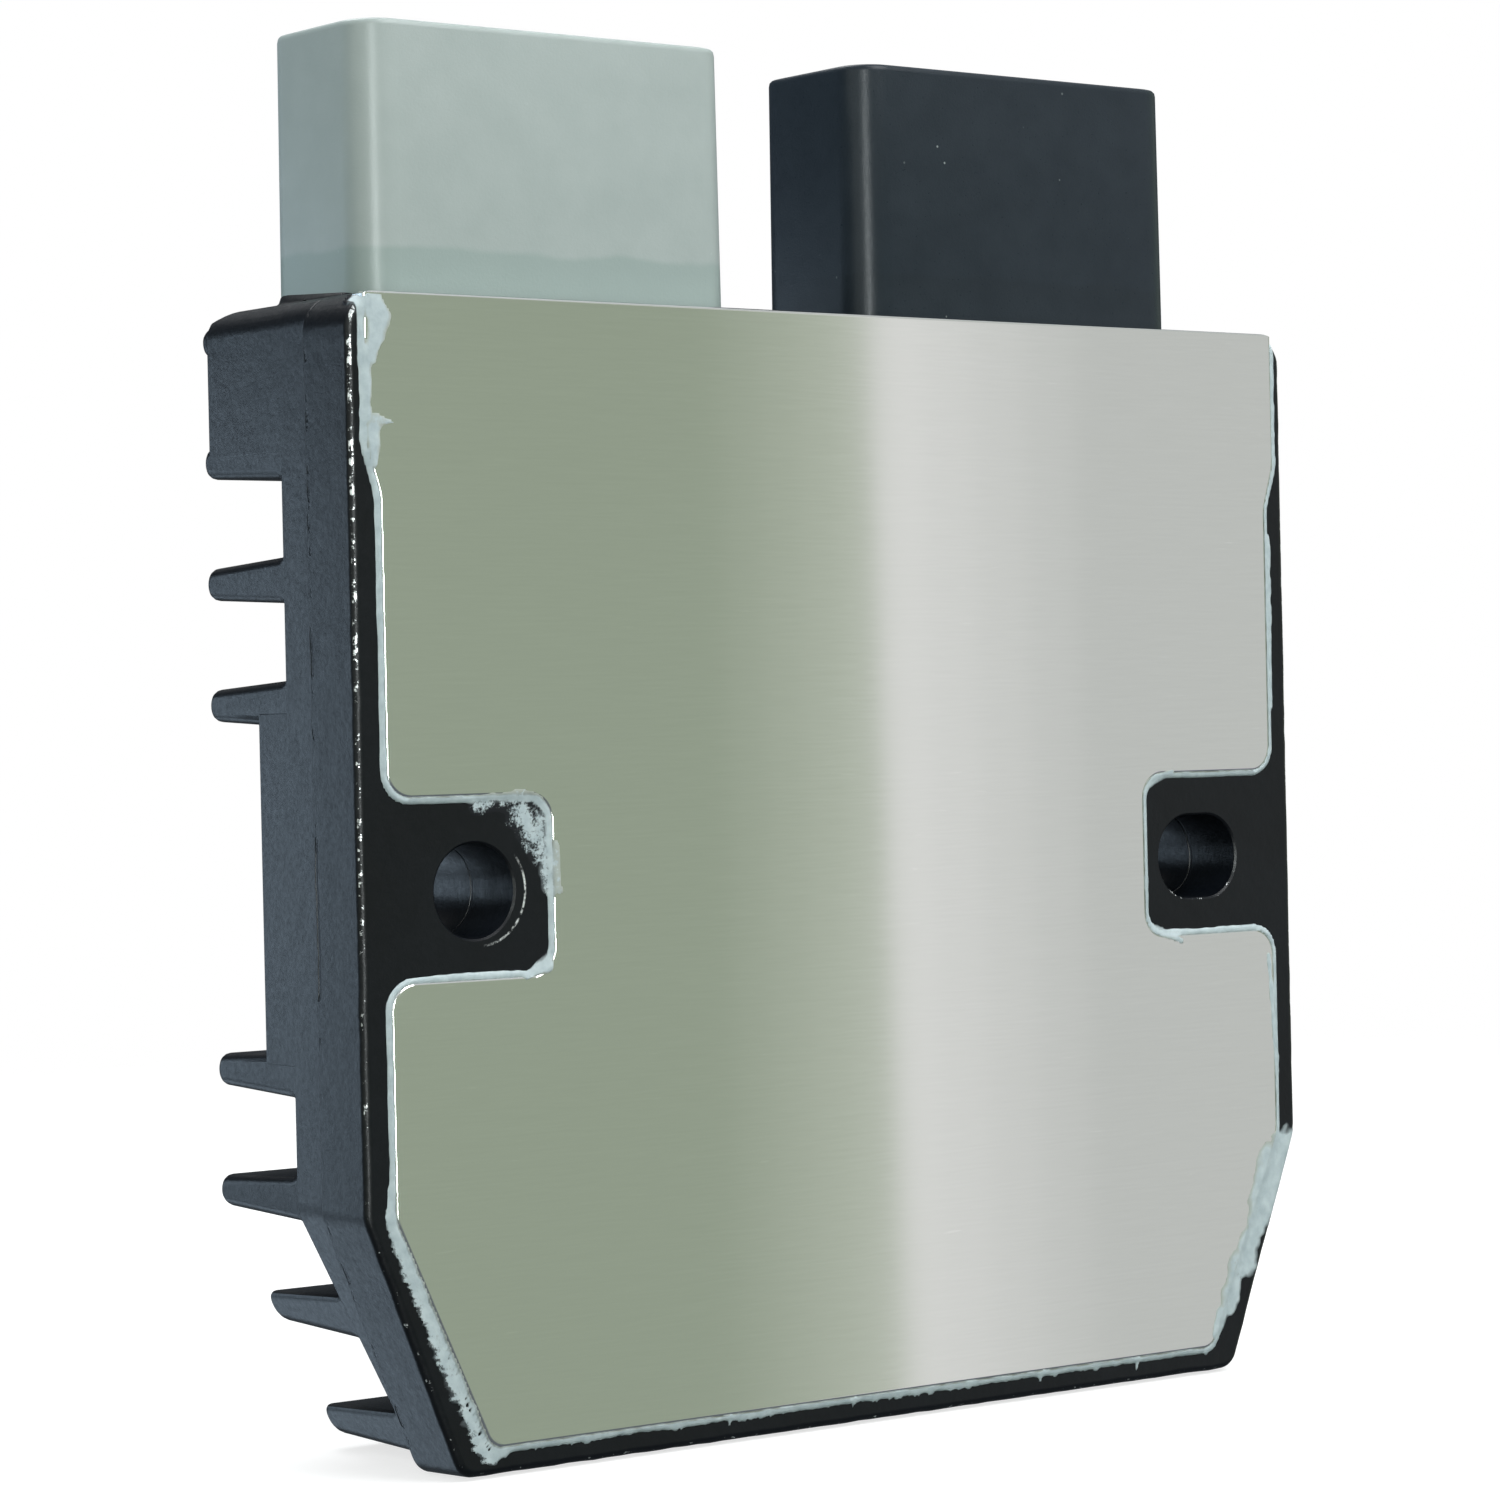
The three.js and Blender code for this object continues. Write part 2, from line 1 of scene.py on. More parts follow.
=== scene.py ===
"""Voltage regulator-rectifier: a finned cast housing with a glued base plate and two plug shrouds.

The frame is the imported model's: +X right and +Z up looking at the base plate, +Y back to the fins.
The scene is in metres. Shapes are worked out in millimetres, and MM turns them into metres.
"""

import json
import math

import bmesh
import bpy
import numpy as np
from mathutils import Matrix, Vector, noise


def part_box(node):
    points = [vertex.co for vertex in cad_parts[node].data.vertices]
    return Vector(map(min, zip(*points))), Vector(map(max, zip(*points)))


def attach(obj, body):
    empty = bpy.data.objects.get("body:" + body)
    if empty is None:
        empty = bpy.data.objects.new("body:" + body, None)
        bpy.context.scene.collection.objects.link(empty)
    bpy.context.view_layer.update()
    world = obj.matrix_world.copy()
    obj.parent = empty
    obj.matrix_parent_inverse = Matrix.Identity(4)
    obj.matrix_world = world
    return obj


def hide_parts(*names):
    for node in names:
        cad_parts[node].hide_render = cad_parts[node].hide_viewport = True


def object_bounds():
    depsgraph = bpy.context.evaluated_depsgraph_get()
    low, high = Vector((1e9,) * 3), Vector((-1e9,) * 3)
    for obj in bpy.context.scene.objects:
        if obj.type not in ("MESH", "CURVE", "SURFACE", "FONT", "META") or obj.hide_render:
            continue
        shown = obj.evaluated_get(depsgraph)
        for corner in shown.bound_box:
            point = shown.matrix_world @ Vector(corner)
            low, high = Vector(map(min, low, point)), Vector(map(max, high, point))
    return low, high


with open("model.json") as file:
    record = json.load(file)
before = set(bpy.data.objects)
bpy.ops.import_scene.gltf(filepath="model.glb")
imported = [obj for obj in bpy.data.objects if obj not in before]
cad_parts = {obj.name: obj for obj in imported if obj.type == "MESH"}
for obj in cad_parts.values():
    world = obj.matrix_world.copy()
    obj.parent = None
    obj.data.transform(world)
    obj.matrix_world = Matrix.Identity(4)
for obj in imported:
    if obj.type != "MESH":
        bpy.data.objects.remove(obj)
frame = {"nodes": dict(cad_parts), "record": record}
CAD_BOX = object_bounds()
MM = 0.001

# ---- places, from the frame: boxes in metres, single places in millimetres ----
BODY_LOW, BODY_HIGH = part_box("heatsink_housing")
PLATE_LOW, PLATE_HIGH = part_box("base_plate")
RIM_Y = BODY_LOW.y / MM
BODY_SIDE_X, BODY_TOP_Z = BODY_HIGH.x / MM, BODY_HIGH.z / MM
PLATE_TOP_Z = PLATE_HIGH.z / MM
FLOOR_Z = CAD_BOX[0].z / MM

# ---- sizes of the shapes made here, in millimetres ----
BODY_BOTTOM_X = 38.3
CHAMFER_Z = -23.0
BODY_RADIUS = 2.6
FLANGE_Y = 6.0
RIM_ROUNDING = 0.6
FLANGE_DRAFT = 0.2  # how much narrower the flange is at its front
REAR_INSET = 0.5  # the rear of the housing is this much smaller all round
REAR_BOTTOM_X = 36.0  # behind the flange the chamfers turn in further
RIM_WAVE = 0.13  # how uneven the rim's outline is
WAVE_SPACING = 1.2
WEB_Y = 10.0
CAVITY_Y = 8.3
LEDGE_Y = 1.8
FIN_COUNT = 10
FIN_TOP_Z = 40.5
FIN_PITCH = 8.93
FIN_TIP_Y = 20.7
FIN_ROOT_HALF = 1.7
FIN_TIP_HALF = 1.15
FIN_FILLET = 0.7
FIN_END_ROUNDING = 0.7
FULL_ROUND = 0.97  # a full round end's radius over its half width, under 1 so that its arcs don't meet
BOSS_Y = 13.9
BOSS_INNER_X = 28.0
BOSS_Z = (-12.6, 13.2)
BOSS_RADIUS = 5.0
HOLE_X, HOLE_RADIUS = -36.0, 3.45
HOLE_ROUND = 0.99  # the round hole's radius over its half width
HOLE_CHAMFER = 0.15
SLOT_X, SLOT_LENGTH, SLOT_HEIGHT = 35.2, 8.5, 6.75
HEADER_Y = 19.7
HEADER_BOTTOM_Z = 31.57
HEADER_SLOPE_Y, HEADER_SLOPE_DROP = 17.6, 1.3
HEADER_ROOM_X, HEADER_ROOM_Y = 43.7, 17.5
HEADER_ROOM_Z = (33.2, 40.3)
PLATE_SIDE_X = 43.4
PLATE_BOTTOM_X = 35.6
STEP_Z = (28.3, 31.8)
POCKET_X = 29.2
POCKET_Z = (-6.3, 6.8)
POCKET_RADIUS = 2.0
GROOVE = 0.35  # sealant groove round the plate
SHROUD_RADIUS = 3.0
SHROUD_WALL = 1.6
SHROUD_DRAFT = 0.12
SHROUD_DRAFT_Z = 44.0  # the outside is straight below this height and drafted above it
SHROUD_LIP = 0.7
SHROUD_FLOOR_Z = 41.0
SHROUD_BACK_Y = 15.8
SHROUD_GAP = 0.3
OVERLAP = 0.5  # how far shapes that are joined, or cut in turn, reach into each other
CLEAR = 1.0  # how far a cut reaches past the surface that it cuts
MERGE = 0.003  # points this close become one after carving
SLIVER = 0.002  # edges this short are removed
CAD_BEVEL = 0.08


# ---- scene helpers ----
def add_object(name, mesh, body="root"):
    piece = bpy.data.objects.new(name, mesh)
    bpy.context.scene.collection.objects.link(piece)
    if body:
        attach(piece, body)
    return piece


def mesh_from(name, vertices, faces):
    mesh = bpy.data.meshes.new(name)
    mesh.from_pydata([tuple(v) for v in vertices], [], faces)
    mesh.update()
    return mesh


def finish_bmesh(work, mesh, smooth_angle=35):
    """Writes the bmesh, with edges sharper than the angle kept sharp."""
    bmesh.ops.recalc_face_normals(work, faces=work.faces)
    for face in work.faces:
        face.smooth = True
    for edge in work.edges:
        if len(edge.link_faces) == 2:
            edge.smooth = edge.calc_face_angle() < math.radians(smooth_angle)
    work.to_mesh(mesh)
    work.free()
    mesh.update()
    return mesh


def skin(work, rings, closed=False):
    """Faces from each ring of vertices to the next, and from the last to the first if closed."""
    following = rings[1:] + rings[:1] if closed else rings[1:]
    for lower, upper in zip(rings, following):
        for i in range(len(lower)):
            k = (i + 1) % len(lower)
            work.faces.new([lower[i], lower[k], upper[k], upper[i]])


def capped_skin(work, rings):
    skin(work, rings)
    work.faces.new(rings[0][::-1])
    work.faces.new(rings[-1])


# ---- outlines in the XZ plane: corners run anticlockwise as (x, z, radius) ----
def mirrored(right_half):
    return right_half + [(-x, z, r) for x, z, r in reversed(right_half)]


def turn(before, at, after):
    return (at[0] - before[0]) * (after[1] - at[1]) - (at[1] - before[1]) * (after[0] - at[0])


def rounded(corners, steps=10):
    """The corners' closed outline as points, with each corner's radius as an arc."""
    points = []
    for i, (x, z, radius) in enumerate(corners):
        at = Vector((x, z))
        back = (Vector(corners[i - 1][:2]) - at).normalized()
        ahead = (Vector(corners[(i + 1) % len(corners)][:2]) - at).normalized()
        if not radius:
            points.append(at)
            continue
        half = back.angle(ahead) / 2
        centre = at + (back + ahead).normalized() * radius / math.sin(half)
        start = at + back * radius / math.tan(half) - centre
        sweep = math.pi - 2 * half
        sign = 1 if turn(corners[i - 1], corners[i], corners[(i + 1) % len(corners)]) > 0 else -1
        for k in range(steps + 1):
            points.append(centre + Matrix.Rotation(sign * sweep * k / steps, 2) @ start)
    return [(p.x, p.y) for p in points]


def offset(corners, distance):
    """The outline moved outwards by distance, or inwards if it is negative, with its arcs concentric."""
    moved = []
    for i, (x, z, radius) in enumerate(corners):
        before, after = corners[i - 1], corners[(i + 1) % len(corners)]
        into = Vector((x - before[0], z - before[1])).normalized()
        out = Vector((after[0] - x, after[1] - z)).normalized()
        miter = distance / (1 + into.dot(out))
        grown = radius + (distance if turn(before, (x, z), after) > 0 else -distance)
        radius = max(0.02, grown) if radius else 0
        moved.append((x + (into.y + out.y) * miter, z - (into.x + out.x) * miter, radius))
    return moved


def body_corners(bottom_x=BODY_BOTTOM_X, inset=0.0):
    """The housing's outline, moved in all round except at its top."""
    low, high = BODY_LOW / MM, BODY_HIGH / MM
    corners = [(bottom_x, low.z, 2), (high.x, CHAMFER_Z, 4), (high.x, high.z + inset, BODY_RADIUS)]
    return offset(mirrored(corners), -inset)


def rear_corners():
    return body_corners(REAR_BOTTOM_X, REAR_INSET)


def plate_corners(top):
    top_x = PLATE_HIGH.x / MM
    return mirrored(
        [
            (PLATE_BOTTOM_X, PLATE_LOW.z / MM, 1.5),
            (PLATE_SIDE_X, CHAMFER_Z, 3),
            (PLATE_SIDE_X, POCKET_Z[0], POCKET_RADIUS),
            (POCKET_X, POCKET_Z[0], POCKET_RADIUS),
            (POCKET_X, POCKET_Z[1], POCKET_RADIUS),
            (PLATE_SIDE_X, POCKET_Z[1], POCKET_RADIUS),
            (PLATE_SIDE_X, STEP_Z[0], 4),
            (top_x, STEP_Z[1], 4),
            (top_x, top, 0),
        ]
    )


def rectangle(x, z, radius=0.0):
    return [(x[0], z[0], radius), (x[1], z[0], radius), (x[1], z[1], radius), (x[0], z[1], radius)]


# ---- prisms and how they join ----
def along_y(place, u, v):
    return (u, place, v)


def along_z(place, u, v):
    return (u, v, place)


def along_x(place, u, v):
    return (place, u, v)


def rounded_end(at, radius, inward):
    """Levels, as (place, inset), that round off a prism's end; inward is the way into the solid."""
    steps = 4
    angles = [math.pi / 2 * k / steps for k in range(steps + 1)]
    return [(at + inward * radius * (1 - math.cos(a)), radius * (1 - math.sin(a))) for a in angles]


def rounded_ends(span, front, back):
    return rounded_end(span[0], front, 1) + rounded_end(span[1], back, -1)[::-1]


def divided(points, counts):
    """Each side of the closed outline, cut into the given number of equal lengths."""
    finer = []
    for i, count in enumerate(counts):
        (ax, az), (bx, bz) = points[i], points[(i + 1) % len(points)]
        finer += [(ax + (bx - ax) * k / count, az + (bz - az) * k / count) for k in range(count)]
    return finer


def prism(corners, levels, place=along_y, steps=8, wave=0.0):
    """A closed bmesh whose outline moves in by each level's inset; wave makes its sides uneven."""
    plain = rounded(corners, steps)
    lengths = [math.dist(plain[i], plain[(i + 1) % len(plain)]) for i in range(len(plain))]
    counts = [max(1, round(length / WAVE_SPACING)) if wave else 1 for length in lengths]
    work = bmesh.new()
    rings = []
    for level, inset in levels:
        outer = divided(rounded(offset(corners, -inset), steps), counts)
        inner = divided(rounded(offset(corners, -inset - 1), steps), counts)
        ring = []
        for (u, v), (inner_u, inner_v) in zip(outer, inner):
            pull = wave * (0.5 + 0.5 * noise.noise(Vector((u, v, inset)) * 0.55))
            at = Vector(place(level, u + (inner_u - u) * pull, v + (inner_v - v) * pull))
            ring.append(work.verts.new(at * MM))
        rings.append(ring)
    capped_skin(work, rings)
    bmesh.ops.recalc_face_normals(work, faces=work.faces)
    return work


def carved(base, steps):
    """The base with each bmesh joined to it or cut out of it, in order."""
    scene = bpy.context.scene.collection
    helpers = []
    for work in [base] + [shape for _, shape in steps]:
        mesh = bpy.data.meshes.new("carving")
        work.to_mesh(mesh)
        work.free()
        helper = bpy.data.objects.new("carving", mesh)
        scene.objects.link(helper)
        helpers.append(helper)
    for (operation, _), helper in zip(steps, helpers[1:]):
        modifier = helpers[0].modifiers.new(operation, "BOOLEAN")
        modifier.operation = operation
        modifier.solver = "MANIFOLD"
        modifier.object = helper
    graph = bpy.context.evaluated_depsgraph_get()
    result = bpy.data.meshes.new_from_object(helpers[0].evaluated_get(graph), depsgraph=graph)
    for helper in helpers:
        mesh = helper.data
        bpy.data.objects.remove(helper)
        bpy.data.meshes.remove(mesh)
    work = bmesh.new()
    work.from_mesh(result)
    bpy.data.meshes.remove(result)
    bmesh.ops.remove_doubles(work, verts=work.verts, dist=MERGE * MM)
    bmesh.ops.dissolve_degenerate(work, dist=SLIVER * MM, edges=work.edges)
    return work


def flat_shaded_faces(piece):
    """Keeps large faces flat where small rounded ones meet them."""
    weighted = piece.modifiers.new("weighted", "WEIGHTED_NORMAL")
    weighted.keep_sharp = True
    weighted.weight = 90


# ---- node helpers ----
class Nodes:
    """Short calls that add nodes to a tree and link them."""

    def __init__(self, tree):
        self.tree = tree

    def node(self, kind, inputs=None, **props):
        made = self.tree.nodes.new("ShaderNode" + kind)
        for key, value in props.items():
            setattr(made, key, value)
        for key, value in (inputs or {}).items():
            self.put(made.inputs[key], value)
        return made

    def put(self, socket, value):
        if isinstance(value, bpy.types.NodeSocket):
            self.tree.links.new(value, socket)
        else:
            socket.default_value = value

    def span(self, value, low, high, to_low=0.0, to_high=1.0, smooth=False):
        inputs = {"Value": value, "From Min": low, "From Max": high, "To Min": to_low, "To Max": to_high}
        kind = "SMOOTHSTEP" if smooth else "LINEAR"
        return self.node("MapRange", inputs, interpolation_type=kind).outputs["Result"]

    def math(self, operation, a, b=0.0):
        return self.node("Math", {0: a, 1: b}, operation=operation).outputs["Value"]

    def times(self, a, b):
        return self.math("MULTIPLY", a, b)

    def plus(self, a, b):
        return self.math("ADD", a, b)

    def minus(self, a, b):
        return self.math("SUBTRACT", a, b)

    def larger(self, a, b):
        return self.math("MAXIMUM", a, b)

    def blend(self, factor, a, b):
        made = self.node("Mix", data_type="RGBA")
        for index, value in ((0, factor), (6, a), (7, b)):
            self.put(made.inputs[index], value)
        return made.outputs[2]


class Shader(Nodes):
    """A Principled material, with short calls for the nodes that drive it."""

    def __init__(self, name, **plain):
        self.material = bpy.data.materials.new(name)
        self.material.use_nodes = True
        super().__init__(self.material.node_tree)
        self.bsdf = self.tree.nodes["Principled BSDF"]
        for key, value in plain.items():
            self.bsdf.inputs[key.replace("_", " ")].default_value = value

    def place(self, scale=(1, 1, 1)):
        """Object coordinates in millimetres, stretched by scale."""
        coordinates = self.node("TexCoord").outputs["Object"]
        stretched = tuple(s / MM for s in scale)
        return self.node("Mapping", {"Vector": coordinates, "Scale": stretched}).outputs["Vector"]

    def noise(self, scale, detail=3.0, roughness=0.55, stretch=(1, 1, 1), distortion=0.0):
        """Noise whose scale is in features per millimetre."""
        inputs = {
            "Vector": self.place(stretch),
            "Scale": scale,
            "Detail": detail,
            "Roughness": roughness,
            "Distortion": distortion,
        }
        return self.node("TexNoise", inputs).outputs["Fac"]

    def spots(self, scale):
        return self.node("TexVoronoi", {"Vector": self.place(), "Scale": scale}).outputs["Distance"]

    def axis(self, name, source="Object"):
        if source == "Object":
            vector = self.place()
        else:
            vector = self.node("NewGeometry").outputs[source]
        return self.node("SeparateXYZ", {"Vector": vector}).outputs[name]

    def bump(self, height, depth, strength=1.0, after=None):
        """Bump of the given depth in millimetres."""
        inputs = {"Height": height, "Distance": depth * MM, "Strength": strength}
        if after is not None:
            inputs["Normal"] = after
        return self.node("Bump", inputs).outputs["Normal"]

    def drive(self, **sockets):
        for key, value in sockets.items():
            self.put(self.bsdf.inputs[key.replace("_", " ")], value)
        return self.material


def rgb(r, g, b):
    return (r, g, b, 1.0)


# ---- materials ----
def cast_paint():
    """Satin black paint on cast aluminium, chipped bright along the rim's front edge and the slot."""
    s = Shader("cast_paint", Specular_IOR_Level=0.25)
    cloud = s.noise(0.12, detail=4)
    grain = s.noise(2.6, detail=5, roughness=0.7)
    paint = s.blend(s.span(cloud, 0.3, 0.7), rgb(0.0015, 0.0024, 0.0045), rgb(0.0030, 0.0045, 0.0075))
    x, y, z = s.axis("X"), s.axis("Y"), s.axis("Z")
    bare = s.larger(edge_chips(s, x, y, z), washer_mark(s, x, y, z))
    lumps = s.bump(s.noise(0.5, detail=3), 0.12, 0.45)
    seam = s.bump(casting_seam(s, y, z), 0.16, 0.9, lumps)
    return s.drive(
        Base_Color=s.blend(bare, paint, rgb(0.86, 0.88, 0.90)),
        Metallic=s.times(bare, 0.6),
        Roughness=s.plus(s.times(bare, -0.1), s.span(grain, 0.3, 0.7, 0.31, 0.45)),
        Normal=s.bump(grain, 0.035, 0.5, seam),
    )


def edge_chips(s, x, y, z):
    """Bare metal in patches on the rim's front edge, thickest high on the sides, and under the slot."""
    facing = s.times(s.axis("Y", "Normal"), -1.0)
    edge = s.times(s.span(facing, 0.45, 0.55), s.span(facing, 0.90, 0.80))
    front = s.span(y, RIM_Y + 0.5, RIM_Y + 0.35)
    threshold = s.span(z, -24.0, 34.0, 0.62, 0.52)
    patchy = s.span(s.minus(s.noise(1.7, detail=5, roughness=0.7), threshold), 0.0, 0.05)
    beside_ears = s.span(s.math("ABSOLUTE", x), 42.0, 42.5)
    under_slot = s.times(s.span(z, -1.2, -2.2), s.span(x, 20.0, 21.0))
    worn = s.larger(beside_ears, s.larger(under_slot, s.span(z, -20.0, -21.0)))
    return s.times(s.times(edge, front), s.times(patchy, worn))


def washer_mark(s, x, y, z):
    """A patchy ring worn through the paint by a bolt's washer, low on the round hole's inner side."""
    across = s.minus(x, HOLE_X + 0.45)
    radius = s.math("SQRT", s.plus(s.times(across, across), s.times(z, z)))
    line = s.span(s.math("ABSOLUTE", s.minus(radius, 3.95)), 0.11, 0.04)
    side = s.times(s.span(s.minus(across, z), 0.5, 3.0), s.span(across, 0.2, 1.5))
    patchy = s.span(s.noise(1.6, detail=5, roughness=0.7), 0.42, 0.54)
    on_face = s.span(y, RIM_Y + 0.1, RIM_Y + 0.05)
    return s.times(s.times(line, side), s.times(patchy, on_face))


def casting_seam(s, y, z):
    """A broken line along the back edge of the flange's sides, deepest beside the bosses."""
    wander = s.span(s.noise(0.35, detail=2), 0.3, 0.7, -0.12, 0.12)
    off_line = s.math("ABSOLUTE", s.plus(s.minus(y, FLANGE_Y - 0.5), wander))
    line = s.span(off_line, 0.16, 0.05)
    patchy = s.span(s.noise(0.28, detail=4, roughness=0.7), 0.50, 0.60)
    beside_boss = s.times(s.span(z, 3.6, 3.0), s.span(z, -7.6, -7.0))
    strength = s.larger(s.times(patchy, 0.4), beside_boss)
    return s.minus(1.0, s.times(line, strength))


def brushed_aluminium():
    """Aluminium brushed along X: reflections stay sharp sideways and spread up and down."""
    s = Shader("brushed_aluminium", Metallic=1.0, Anisotropic=1.0)
    lines = s.noise(5.0, detail=4, roughness=0.7, stretch=(0.04, 1, 1))
    wide = s.noise(0.9, detail=3, stretch=(0.03, 1, 1))
    dull = s.noise(0.05, detail=3)
    scratch = s.span(s.noise(1.6, detail=1, stretch=(0.2, 1, 3.0), distortion=0.6), 0.765, 0.79)
    tone = s.blend(s.span(lines, 0.25, 0.75), rgb(0.702, 0.706, 0.694), rgb(0.738, 0.742, 0.730))
    tone = s.blend(s.times(s.span(wide, 0.3, 0.7), 0.3), tone, rgb(0.700, 0.705, 0.690))
    tone = s.blend(s.times(scratch, 0.3), tone, rgb(0.86, 0.86, 0.85))
    rough = s.plus(s.span(lines, 0.2, 0.8, 0.085, 0.105), s.span(dull, 0.35, 0.65, 0.0, 0.01))
    tangent = s.node("Tangent", direction_type="UV_MAP", uv_map="brush").outputs["Tangent"]
    return s.drive(Base_Color=tone, Roughness=rough, Tangent=tangent)


def sealant():
    """Cured white sealant, whose thin smears show the paint through a fine grain, and over the plate a
    painted reflection of the plate's olive-grey look.
    """
    s = Shader("sealant", Specular_IOR_Level=0.3)
    thick = s.node("Attribute", attribute_name="thickness").outputs["Fac"]
    dry = s.node("Attribute", attribute_name="dryness").outputs["Fac"]
    on_plate = s.node("Attribute", attribute_name="over_plate").outputs["Fac"]
    mottle = s.noise(1.1, detail=4)
    streak = s.noise(1.6, detail=3, stretch=(1, 1, 0.4))
    grain = s.noise(2.6, detail=6, roughness=0.75)
    body = s.blend(s.span(mottle, 0.3, 0.7), rgb(0.42, 0.50, 0.54), rgb(0.57, 0.65, 0.68))
    # over the plate this colour is a painted reflection: the olive grey that the plate shows, not the
    # aluminium's own colour
    shown_beneath_with_painted_reflection = s.blend(on_plate, rgb(0.003, 0.004, 0.008), rgb(0.40, 0.43, 0.39))
    wet_cover = s.plus(s.span(thick, 0.0, 0.30), s.span(streak, 0.3, 0.7, -0.25, 0.15))
    grains = s.plus(thick, s.times(s.minus(grain, 0.5), 3.0))
    dry_cover = s.span(grains, 0.30, 0.62, 0.0, 0.85)
    wet_part = s.times(wet_cover, s.minus(1.0, dry))
    cover = s.plus(wet_part, s.times(dry_cover, dry))
    return s.drive(
        Base_Color=s.blend(s.span(cover, 0.0, 0.8), shown_beneath_with_painted_reflection, body),
        Roughness=s.span(mottle, 0.3, 0.7, 0.40, 0.60),
        Normal=s.bump(s.noise(2.4, detail=4), 0.05, 0.5),
    )


def moulded(name, dark, light, rough, foot, speck, gloss):
    """Fine-textured plastic with a darker band at the foot, painted shade given as (strength, colour), and
    small pale specks.
    """
    s = Shader(name, Specular_IOR_Level=gloss)
    mottle = s.noise(0.3, detail=5)
    grain = s.noise(4.5, detail=3, roughness=0.7)
    colour = s.blend(s.span(mottle, 0.3, 0.7), dark, light)
    uneven = s.plus(s.axis("Z"), s.span(s.noise(0.15, detail=2), 0.3, 0.7, -0.3, 0.3))
    # painted shade: the band darkens the plastic low down, where the shroud rises from the header
    band = s.span(uneven, 46.5, 45.9, smooth=True)
    colour = s.blend(s.times(band, foot[0]), colour, foot[1])
    dust = s.times(s.span(s.spots(0.5), 0.06, 0.03), s.span(s.noise(0.2), 0.52, 0.6))
    scratch = s.times(s.span(s.noise(0.45, detail=1, stretch=(1, 1, 0.035)), 0.735, 0.76), 0.5)
    mark = s.times(s.larger(dust, scratch), speck)
    colour = s.blend(mark, colour, rgb(0.6, 0.66, 0.66))
    normal = s.bump(grain, 0.025, 0.55)
    return s.drive(
        Base_Color=colour,
        Roughness=s.span(grain, 0.3, 0.7, rough[0], rough[1]),
        Normal=s.bump(s.noise(0.22, detail=2), 0.10, 0.3, normal),
    )


def plain_metal(name, low, high, rough, stretch=(1, 1, 1)):
    """Rolled or plated metal with faint drawn streaks."""
    s = Shader(name, Metallic=1.0)
    streak = s.noise(3.0, detail=4, stretch=stretch)
    return s.drive(
        Base_Color=s.blend(s.span(streak, 0.3, 0.7), low, high),
        Roughness=s.span(streak, 0.3, 0.7, rough[0], rough[1]),
        Normal=s.bump(streak, 0.01, 0.4),
    )


def resin(name, low, high, rough, grain_depth):
    """Moulded or cast resin with a fine grain."""
    s = Shader(name)
    grain = s.noise(6.0, detail=4)
    cloud = s.noise(0.3, detail=3)
    return s.drive(
        Base_Color=s.blend(s.span(cloud, 0.3, 0.7), low, high),
        Roughness=s.span(grain, 0.3, 0.7, rough[0], rough[1]),
        Normal=s.bump(grain, grain_depth, 0.5),
    )


def circuit_board(name, mask, over_track, bare):
    """Solder mask over printed tracks, with tinned pads."""
    s = Shader(name, Specular_IOR_Level=0.5)
    cells = s.node("TexVoronoi", {"Vector": s.place(), "Scale": 0.28}, distance="CHEBYCHEV", feature="F1")
    tracks = s.span(cells.outputs["Distance"], 0.30, 0.32)
    pads = s.span(s.spots(0.45), 0.10, 0.08)
    colour = s.blend(tracks, mask, over_track)
    colour = s.blend(pads, colour, bare)
    return s.drive(
        Base_Color=colour,
        Metallic=pads,
        Roughness=s.span(s.noise(2.0), 0.3, 0.7, 0.28, 0.42),
        Normal=s.bump(tracks, 0.04, 0.6),
    )


def striped_capacitor():
    """Moulded tantalum capacitor with a plain polarity bar at its upper end."""
    s = Shader("capacitor_resin")
    z = s.axis("Z")
    band = s.times(s.span(z, -22.3, -22.2), s.span(z, -21.2, -21.3))
    colour = s.blend(s.span(s.noise(1.0), 0.3, 0.7), rgb(0.52, 0.28, 0.02), rgb(0.60, 0.35, 0.035))
    return s.drive(
        Base_Color=s.blend(band, colour, rgb(0.25, 0.10, 0.015)),
        Roughness=s.span(s.noise(4.0), 0.3, 0.7, 0.4, 0.55),
        Normal=s.bump(s.noise(6.0), 0.02, 0.4),
    )


CAST = cast_paint()
PLATE = brushed_aluminium()
SEALANT = sealant()
GREY_TONES = (rgb(0.365, 0.415, 0.410), rgb(0.395, 0.445, 0.440))
# painted shade for the band low on the grey shroud, as (strength, colour)
GREY_FOOT_SHADE = (0.75, rgb(0.29, 0.36, 0.35))
BLACK_TONES = (rgb(0.015, 0.022, 0.031), rgb(0.020, 0.028, 0.038))
# painted shade for the band low on the black shroud, as (strength, colour)
BLACK_FOOT_SHADE = (0.2, rgb(0.012, 0.016, 0.02))
TIN_TONES = (rgb(0.60, 0.59, 0.55), rgb(0.72, 0.71, 0.68))
COPPER_TONES = (rgb(0.62, 0.25, 0.12), rgb(0.78, 0.36, 0.19))
PAD = rgb(0.70, 0.69, 0.65)
POWER_MASK = (rgb(0.68, 0.69, 0.66), rgb(0.74, 0.75, 0.71))
CONTROL_MASK = (rgb(0.008, 0.07, 0.022), rgb(0.015, 0.12, 0.04))

